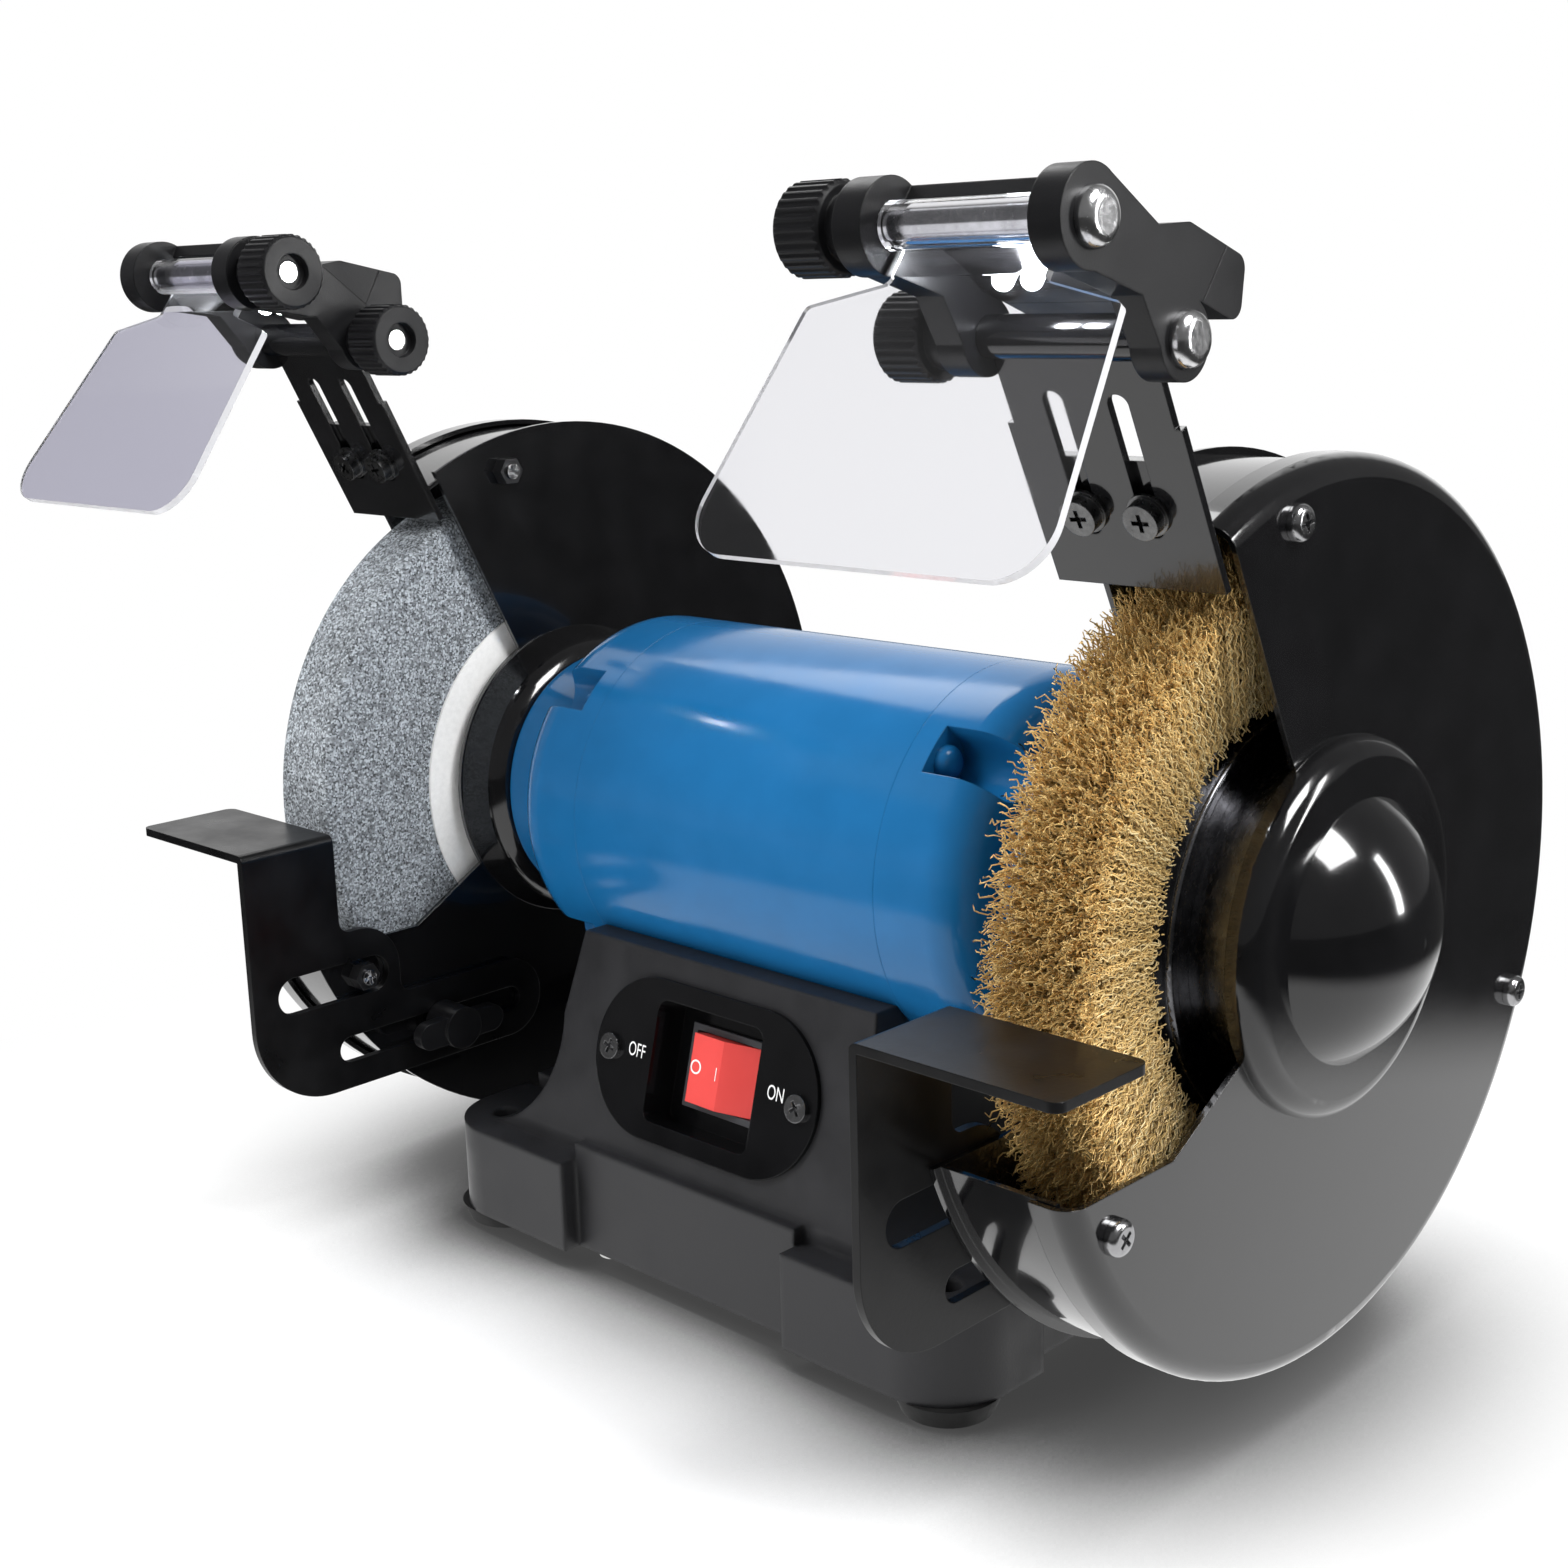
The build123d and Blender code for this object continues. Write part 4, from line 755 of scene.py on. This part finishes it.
def flute_tree():
    """Round bars about an axis along X, one for each groove of a knob."""
    tree, given, out = new_tree(
        "knob flutes",
        Count="Int", Ring_Radius="Float", Bar_Radius="Float", Length="Float",
        Centre="Vector", Material="Material",
    )
    ring = add_node(tree, "GeometryNodeMeshCircle", Vertices=given["Count"], Radius=given["Ring Radius"])
    quarter = (0.0, math.pi / 2, 0.0)
    stood = add_node(
        tree,
        "GeometryNodeTransform",
        Geometry=ring.outputs[0],
        Translation=given["Centre"],
        Rotation=quarter,
    ).outputs[0]
    bar = add_node(
        tree, "GeometryNodeMeshCylinder", Vertices=10, Radius=given["Bar Radius"], Depth=given["Length"]
    )
    bars = add_node(
        tree, "GeometryNodeInstanceOnPoints", Points=stood, Instance=bar.outputs[0], Rotation=quarter
    ).outputs[0]
    finish_tree(tree, bars, given, out)
    return tree


def cross_tree():
    """A cross-shaped bit at each point, turned to the way the screw faces and rolled at random."""
    tree, given, out = new_tree(
        "screw crosses",
        Arm="Float", Width="Float", Depth="Float", Facing="Vector", Seed="Int", Material="Material",
    )
    both = tree.nodes.new("GeometryNodeJoinGeometry")
    span = math_node(tree, "MULTIPLY", given["Arm"], 2.0)
    tall = math_node(tree, "MULTIPLY", given["Depth"], 2.0)
    for long_side, short_side in ((span, given["Width"]), (given["Width"], span)):
        size = combined(tree, X=long_side, Y=short_side, Z=tall)
        bar = add_node(tree, "GeometryNodeMeshCube", Size=size)
        tree.links.new(bar.outputs[0], both.inputs[0])
    turned = rolled(tree, given["Facing"], chance(tree, 0.0, math.pi, given["Seed"], 1))
    points = add_node(tree, "GeometryNodeMeshToPoints", Mesh=given["Geometry"]).outputs[0]
    crosses = add_node(
        tree, "GeometryNodeInstanceOnPoints", Points=points, Instance=both.outputs[0], Rotation=turned
    ).outputs[0]
    finish_tree(tree, crosses, given, out)
    return tree


# Pieces

class GRINDER_OT_finishes(bpy.types.Operator):
    """Make every finish and paint the CAD nodes with it"""

    bl_idname = "grinder.finishes"
    bl_label = "Finishes"

    def execute(self, context):
        FINISHES.update(make_finishes(context.scene.grinder_colours))
        special = {
            "switch_plate": "switch_black",
            "switch_body": "bezel_grey",
            "motor_tie_bolts": "motor_blue",
            "brush_discs": "dark_disc",
            "brush_flanges": "dark_disc",
            "guard_cover_nuts": "black_screw",
            "left_tool_rest": "table_black",
            "right_tool_rest": "table_black",
            "left_lamp_bolts": "bright_bolt",
            "right_lamp_bolts": "bright_bolt",
        }
        for name, node in frame["nodes"].items():
            slot = node.material_slots[0].material.name
            node.material_slots[0].material = FINISHES[special.get(name, slot)]
        return {"FINISHED"}


class GRINDER_OT_wire_brush(bpy.types.Operator):
    """Grow the wire brush's crimped wires round a core painted dark as the shade between them"""

    bl_idname = "grinder.wire_brush"
    bl_label = "Wire brush"

    def execute(self, context):
        sizes = context.scene.grinder_brush
        middle = brush_centre.x
        half = (brush_high.x - brush_low.x) / 2
        disc_low, disc_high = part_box("brush_discs")
        disc_half = (disc_high.x - disc_low.x) / 2
        disc_radius = (disc_high.z - disc_low.z) / 2
        root_half = disc_half - 2 * MM
        waist = brush_radius - 15 * MM
        rim = brush_radius - 10 * MM
        shoulder = half - 2.5 * MM
        half_profile = [(root_half, disc_radius - 3 * MM), (0.8 * shoulder, waist), (shoulder, rim - 2 * MM)]
        profile = [(middle - x, radius) for x, radius in half_profile] + [(middle, rim)]
        profile += [(middle + x, radius) for x, radius in reversed(half_profile)]
        # The core's finish is painted shade that shows between the wires.
        core = spun("wire_brush_core", profile, brush_centre, CORE_STEPS)
        piece_from(core, "wire_brush_core", "rotor", FINISHES["brush_core"], "brass_wire", "wire_brush")
        tree = wire_tree()
        side_limit = half + 0.9 * MM
        rim_length = brush_radius - waist
        for layer in range(sizes.rim_layers):
            add_wires(
                f"wire_brush_rim_{layer + 1}",
                tree,
                sizes,
                rim_length,
                Count=sizes.rim_wires,
                Seed=sizes.seed + 20 * layer,
                Root_Radius=waist,
                Root_Low=-0.8 * half,
                Root_High=0.8 * half,
                Flare=1.2,
                Lean=4.0 * MM,
                Side_Limit=side_limit,
            )
        face_length = brush_radius - disc_radius
        for side, sign, layers in (("inner", -1, 1), ("outer", 1, 2)):
            places = sorted((sign * (disc_half - 1.5 * MM), sign * (disc_half - 0.2 * MM)))
            for layer in range(layers):
                add_wires(
                    f"wire_brush_face_{side}_{layer + 1}",
                    tree,
                    sizes,
                    face_length,
                    Count=sizes.face_wires,
                    Seed=sizes.seed + 300 + 40 * layer + sign,
                    Root_Radius=disc_radius - 1 * MM,
                    Root_Low=places[0],
                    Root_High=places[1],
                    Flare=half / disc_half,
                    Lean=3.0 * MM,
                    Side_Limit=side_limit,
                )
        return {"FINISHED"}


def add_wires(name, tree, sizes, length, **values):
    """One layer of the brush's wires, as a piece of its own."""
    finish = FINISHES["brass_wire"]
    wires = grown(
        name,
        bpy.data.meshes.new("wires"),
        tree,
        Points=round(length / sizes.crimp_step),
        Length=length,
        Crimp=sizes.crimp,
        Wire_Radius=sizes.wire_radius,
        Centre=brush_centre,
        Tip_Radius=brush_radius,
        Spare=1.3 * MM,
        Uneven=10.0 * MM,
        Material=finish,
        **values,
    )
    piece_from(wires, wires.name, "rotor", finish, "brass_wire")


class GRINDER_OT_knobs(bpy.types.Operator):
    """Flute the grips of the four clamp knobs"""

    bl_idname = "grinder.knobs"
    bl_label = "Clamp knobs"

    def execute(self, context):
        sizes = context.scene.grinder_knobs
        finish = FINISHES["black_plastic"]
        tree = flute_tree()
        for side in SIDES:
            for kind in ("lamp", "shield"):
                node = f"{side}_{kind}_knob"
                low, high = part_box(node)
                centre = (low + high) / 2
                radius = (high.z - low.z) / 2
                centre.x = low.x if side == "right" else high.x
                bars = grown(
                    "flutes",
                    bpy.data.meshes.new("flutes"),
                    tree,
                    Count=sizes.flutes,
                    Ring_Radius=radius + 0.25 * sizes.flute_radius,
                    Bar_Radius=sizes.flute_radius,
                    Length=2 * (high.x - low.x),
                    Centre=centre,
                    Material=finish,
                )
                knob = cut_node(node, bars)
                piece_from(knob, f"{node}_fluted", body_of_node(node), finish, "black_plastic", node)
        return {"FINISHED"}


class GRINDER_OT_shields(bpy.types.Operator):
    """Round the edges of the clear shields"""

    bl_idname = "grinder.shields"
    bl_label = "Eye shields"

    def execute(self, context):
        for side in SIDES:
            node = f"{side}_eye_shield"
            sheet = temporary(welded_copy(node))
            edge = sheet.modifiers.new("edge", "BEVEL")
            edge.width = SHIELD_EDGE
            edge.segments = 1
            edge.limit_method = "ANGLE"
            edge.angle_limit = SHARP_ANGLE
            mesh = smooth(baked(sheet))
            finish = FINISHES["clear_shield"]
            piece_from(mesh, f"{node}_rounded", body_of_node(node), finish, "clear_shield", node)
        return {"FINISHED"}


class GRINDER_OT_screws(bpy.types.Operator):
    """Press the cross recess into the pan screws"""

    bl_idname = "grinder.screws"
    bl_label = "Cross screws"

    def execute(self, context):
        sizes = context.scene.grinder_knobs
        tree = cross_tree()
        outward = ((Vector((-1, 0, 0)), -1), (Vector((1, 0, 0)), 1))
        to_front = Vector((0, -math.cos(BRACKET_LEAN), -math.sin(BRACKET_LEAN)))
        to_panel = Vector((0, -math.cos(PANEL_SLOPE), math.sin(PANEL_SLOPE)))
        jobs = (
            ("guard_cover_screws", "black_screw", "bright_screw", outward, 6 * MM),
            ("bracket_screws", "black_screw", "dull_screw", ((to_front, 0),), 4 * MM),
            ("switch_plate_screws", "zinc", "bright_screw", ((to_panel, 0),), 6 * MM),
        )
        for node, slot, finish, facings, gap in jobs:
            groups = clusters(node, gap)
            work = bmesh.new()
            for facing, side in facings:
                corners = [(low, high) for low, high in groups if side * (low.x + high.x) >= 0]
                points = bpy.data.meshes.new("screw_places")
                points.from_pydata([top_of(node, c, facing) for c in corners], [], [])
                crosses = grown(
                    "crosses",
                    points,
                    tree,
                    Arm=sizes.recess_arm,
                    Width=sizes.recess_width,
                    Depth=sizes.recess_depth,
                    Facing=facing,
                    Seed=len(corners),
                    Material=FINISHES[finish],
                )
                work.from_mesh(crosses)
            cutters = bpy.data.meshes.new("cutters")
            work.to_mesh(cutters)
            work.free()
            screws = cut_node(node, cutters)
            piece_from(screws, f"{node}_crossed", body_of_node(node), FINISHES[finish], slot, node)
        return {"FINISHED"}


def top_of(node, corners, facing):
    """Middle of a fastener's head on the side it faces."""
    low, high = corners
    inside = [
        v.co
        for v in frame["nodes"][node].data.vertices
        if all(low[i] - WELD_REACH <= v.co[i] <= high[i] + WELD_REACH for i in range(3))
    ]
    reach = max(point.dot(facing) for point in inside)
    head = [point for point in inside if point.dot(facing) > reach - HEAD_SKIN]
    return sum(head, Vector()) / len(head)


class GRINDER_OT_switch_marks(bpy.types.Operator):
    """Print the generic marks of the switch"""

    bl_idname = "grinder.switch_marks"
    bl_label = "Switch marks"

    def execute(self, context):
        marks = (
            ("OFF", "switch_plate", -28.4 * MM, -0.3 * MM, 4.3 * MM, 1.4),
            ("ON", "switch_plate", 30.2 * MM, 0.5 * MM, 4.3 * MM, 1.4),
            ("O", "switch_rocker", -8.6 * MM, -1.0 * MM, 6.2 * MM, 1.0),
            ("|", "switch_rocker", 0.2 * MM, -0.7 * MM, 4.4 * MM, 1.0),
        )
        facing = Vector((0, -math.cos(PANEL_SLOPE), math.sin(PANEL_SLOPE)))
        climb = Vector((0, math.sin(PANEL_SLOPE), math.cos(PANEL_SLOPE)))
        centre = (plate_low + plate_high) / 2
        names = {"|": "bar", "O": "ring"}
        for text, node, along, up, size, tall in marks:
            curve = bpy.data.curves.new("mark", "FONT")
            curve.body = text
            curve.size = size
            curve.align_x = "CENTER"
            curve.align_y = "CENTER"
            mesh = baked_curve(curve)
            surface = welded_copy(node)
            work = bmesh.new()
            work.from_mesh(surface)
            tree = BVHTree.FromBMesh(work)
            work.free()
            bpy.data.meshes.remove(surface)
            for vertex in mesh.vertices:
                flat = vertex.co.copy()
                foot = Vector((along + flat.x, centre.y, centre.z))
                start = foot + climb * (up + tall * flat.y) + facing * MARK_START
                hit = tree.ray_cast(start, -facing)[0]
                if hit is None:
                    raise RuntimeError(f"the mark {text} misses the {node}")
                vertex.co = hit + facing * MARK_LIFT
            name = f"switch_mark_{names.get(text, text.lower())}"
            piece_from(mesh, name, body_of_node(node), FINISHES["mark"], "paper")
        return {"FINISHED"}


def baked_curve(curve):
    """A text's faces with their doubled points joined."""
    thing = bpy.data.objects.new("mark", curve)
    bpy.context.collection.objects.link(thing)
    mesh = baked(thing)
    bpy.data.curves.remove(curve)
    work = bmesh.new()
    work.from_mesh(mesh)
    bmesh.ops.remove_doubles(work, verts=work.verts, dist=WELD_REACH)
    work.to_mesh(mesh)
    work.free()
    return mesh


class GRINDER_OT_stage(bpy.types.Operator):
    """Lay the floor, light it and set the camera"""

    bl_idname = "grinder.stage"
    bl_label = "Stage"

    def execute(self, context):
        sizes = context.scene.grinder_stage
        half = sizes.floor_half
        mesh = bpy.data.meshes.new("floor")
        corners = ((-half, -half, 0), (half, -half, 0), (half, half, 0), (-half, half, 0))
        mesh.from_pydata(corners, [], [(0, 1, 2, 3)])
        floor = bpy.data.objects.new("floor", mesh)
        context.collection.objects.link(floor)
        mesh.materials.append(pale_floor(sizes.bright_reach))
        paint_sky(context.scene, sizes.sky, sizes.mirror_sky)
        lamps = (
            ("right_softbox", (0.87, 0.06, 1.1), (0.5, 0.5), sizes.key_power, True),
            ("right_strip", (1.0, 0.58, 0.45), (0.12, 0.6), sizes.strip_power, True),
            ("back_strip", (-0.7, 0.38, 1.05), (0.5, 0.3), sizes.back_power, True),
            ("left_softbox", (-0.6, -0.7, 1.1), (0.7, 0.7), sizes.fill_power, False),
            ("floor_bounce", (-0.2, -0.42, 0.02), (0.6, 0.4), sizes.bounce_power, False),
        )
        for name, place, size, power, mirrored in lamps:
            add_lamp(context, name, Vector(place), size, power, mirrored)
        add_camera(context)
        context.scene.view_settings.view_transform = "Standard"
        return {"FINISHED"}


def backdrop_with_painted_shade(tree, heading, path):
    """White, but with a painted dimmer lavender shade to the left where it is seen through a clear sheet."""
    across = add_node(tree, "ShaderNodeSeparateXYZ", Vector=heading).outputs["X"]
    left = fade(tree, across, -0.9, -0.7, 1.0, 0.0)
    # Painted shade: only what is seen through a clear sheet on the left is dimmed.
    through = math_node(tree, "MULTIPLY", left, path.outputs["Is Transmission Ray"])
    return ramp(tree, through, (0.0, WHITE), (1.0, (0.58, 0.57, 0.66, 1.0)))


def pale_floor(bright_reach):
    """A white floor that keeps the shadow, with a painted contact shadow close under the grinder, white to
    its far edge; paint and metal show its near part.
    """
    material, tree, shader, coordinates = start_finish("pale_floor")
    cloud = noise(tree, coordinates, 3.0)
    shade = two_tone(tree, cloud, (0.9, 0.9, 0.9, 1.0), (0.93, 0.93, 0.93, 1.0))
    # Painted shadow: the floor's colour darkens where nearby parts block its open sky.
    openness_for_painted_shadow = add_node(tree, "ShaderNodeAmbientOcclusion", {"samples": 24}, Distance=0.1).outputs["AO"]
    painted_contact_shadow = fade(tree, openness_for_painted_shadow, 0.4, 0.98, 0.03, 1.0)
    tree.links.new(darkened(tree, shade, painted_contact_shadow), shader.inputs["Base Color"])
    shader.inputs["Roughness"].default_value = 0.9
    shader.inputs["Specular IOR Level"].default_value = 0.0
    reach = length_of(tree, coordinates)
    path = tree.nodes.new("ShaderNodeLightPath")
    looked = math_node(tree, "MAXIMUM", path.outputs["Is Camera Ray"], path.outputs["Is Transmission Ray"])
    far = fade(tree, reach, 0.3 * bright_reach, 1.05 * bright_reach, 0.05, 1.0)
    heading = vector_node(tree, "NORMALIZE", coordinates)
    # Painted shade: the floor seen through the left clear sheet is dimmed to lavender.
    tint = backdrop_with_painted_shade(tree, heading, path)
    white = add_node(tree, "ShaderNodeEmission", Color=tint, Strength=1.0)
    plain = add_node(tree, "ShaderNodeMixShader", Fac=math_node(tree, "MULTIPLY", looked, far))
    tree.links.new(shader.outputs[0], plain.inputs[1])
    tree.links.new(white.outputs[0], plain.inputs[2])
    near = fade(tree, reach, 0.9 * bright_reach, 1.2 * bright_reach, 1.0, 0.04)
    mirrored = add_node(tree, "ShaderNodeEmission", Strength=near)
    direct = math_node(tree, "SUBTRACT", 1.0, path.outputs["Is Transmission Ray"])
    glossy = math_node(tree, "MULTIPLY", path.outputs["Is Glossy Ray"], direct)
    both = add_node(tree, "ShaderNodeMixShader", Fac=glossy)
    tree.links.new(plain.outputs[0], both.inputs[1])
    tree.links.new(mirrored.outputs[0], both.inputs[2])
    tree.links.new(both.outputs[0], tree.nodes["Material Output"].inputs["Surface"])
    return material


def paint_sky(scene, strength, mirror_level):
    """Dim light all round, and a white backdrop behind the grinder that glass and paint show too."""
    world = bpy.data.worlds.new("studio")
    scene.world = world
    world.use_nodes = True
    tree = world.node_tree
    towards = tree.nodes.new("ShaderNodeTexCoord").outputs["Generated"]
    backdrop = fade(tree, dot_with(tree, towards, BACKDROP_HEADING), 0.6, 0.85, 0.0, 1.0)
    path = tree.nodes.new("ShaderNodeLightPath")
    through = math_node(tree, "MAXIMUM", path.outputs["Is Glossy Ray"], path.outputs["Is Transmission Ray"])
    bare = fade(tree, through, 0.0, 1.0, strength, mirror_level)
    behind = math_node(tree, "MULTIPLY", through, backdrop)
    shown = math_node(tree, "MAXIMUM", path.outputs["Is Camera Ray"], behind)
    level = math_node(tree, "MAXIMUM", bare, shown)
    sky = tree.nodes["Background"]
    # Painted shade: the backdrop seen through the left clear sheet is dimmed to lavender.
    tree.links.new(backdrop_with_painted_shade(tree, towards, path), sky.inputs["Color"])
    tree.links.new(level, sky.inputs["Strength"])


def add_lamp(context, name, place, size, power, mirrored):
    data = bpy.data.lights.new(name, "AREA")
    data.shape = "RECTANGLE"
    data.size = size[0]
    data.size_y = size[1]
    data.energy = power
    lamp = bpy.data.objects.new(name, data)
    context.collection.objects.link(lamp)
    lamp.location = place
    lamp.rotation_euler = (LIGHT_TARGET - place).to_track_quat("-Z", "Y").to_euler()
    lamp.visible_camera = False
    lamp.visible_glossy = mirrored
    lamp.visible_transmission = False


def add_camera(context):
    """The camera of the photograph's view."""
    turn = math.radians(44.612)
    rise = math.radians(13.229)
    roll = math.radians(-1.567)
    back = Vector((math.sin(turn) * math.cos(rise), -math.cos(turn) * math.cos(rise), math.sin(rise)))
    level = Vector((math.cos(turn), math.sin(turn), 0))
    upward = back.cross(level)
    right = math.cos(roll) * level + math.sin(roll) * upward
    up = -math.sin(roll) * level + math.cos(roll) * upward
    data = bpy.data.cameras.new("photo_view")
    data.sensor_width = 36.0
    data.lens = CAMERA_LENS
    camera = bpy.data.objects.new("photo_view", data)
    context.collection.objects.link(camera)
    place = Matrix((right, up, back)).transposed().to_4x4()
    place.translation = CAMERA_PLACE
    camera.matrix_world = place
    data.clip_start = 0.01
    data.clip_end = 100.0
    context.scene.camera = camera


class GRINDER_PT_looks(bpy.types.Panel):
    """Shows the grinder's colours and sizes, and a button for each step that makes its pieces"""

    bl_idname = "GRINDER_PT_looks"
    bl_label = "Bench grinder"
    bl_space_type = "VIEW_3D"
    bl_region_type = "UI"
    bl_category = "Grinder"

    def draw(self, context):
        for key in GROUPS:
            group = getattr(context.scene, key)
            column = self.layout.column()
            for name in group.bl_rna.properties.keys():
                if name not in ("rna_type", "name"):
                    column.prop(group, name)
        for operator in OPERATORS:
            self.layout.operator(operator.bl_idname)


GROUPS = {
    "grinder_colours": GrinderColours,
    "grinder_brush": BrushSizes,
    "grinder_knobs": KnobSizes,
    "grinder_stage": StageSizes,
}
OPERATORS = (
    GRINDER_OT_finishes,
    GRINDER_OT_wire_brush,
    GRINDER_OT_knobs,
    GRINDER_OT_shields,
    GRINDER_OT_screws,
    GRINDER_OT_switch_marks,
    GRINDER_OT_stage,
)


def register():
    for name, group in GROUPS.items():
        bpy.utils.register_class(group)
        setattr(bpy.types.Scene, name, PointerProperty(type=group))
    for operator in OPERATORS:
        bpy.utils.register_class(operator)
    bpy.utils.register_class(GRINDER_PT_looks)


def unregister():
    bpy.utils.unregister_class(GRINDER_PT_looks)
    for operator in reversed(OPERATORS):
        bpy.utils.unregister_class(operator)
    for name, group in reversed(GROUPS.items()):
        delattr(bpy.types.Scene, name)
        bpy.utils.unregister_class(group)


def main():
    register()
    bpy.ops.grinder.finishes()
    bpy.ops.grinder.wire_brush()
    bpy.ops.grinder.knobs()
    bpy.ops.grinder.shields()
    bpy.ops.grinder.screws()
    bpy.ops.grinder.switch_marks()
    bpy.ops.grinder.stage()


if __name__ == "__main__":
    main()
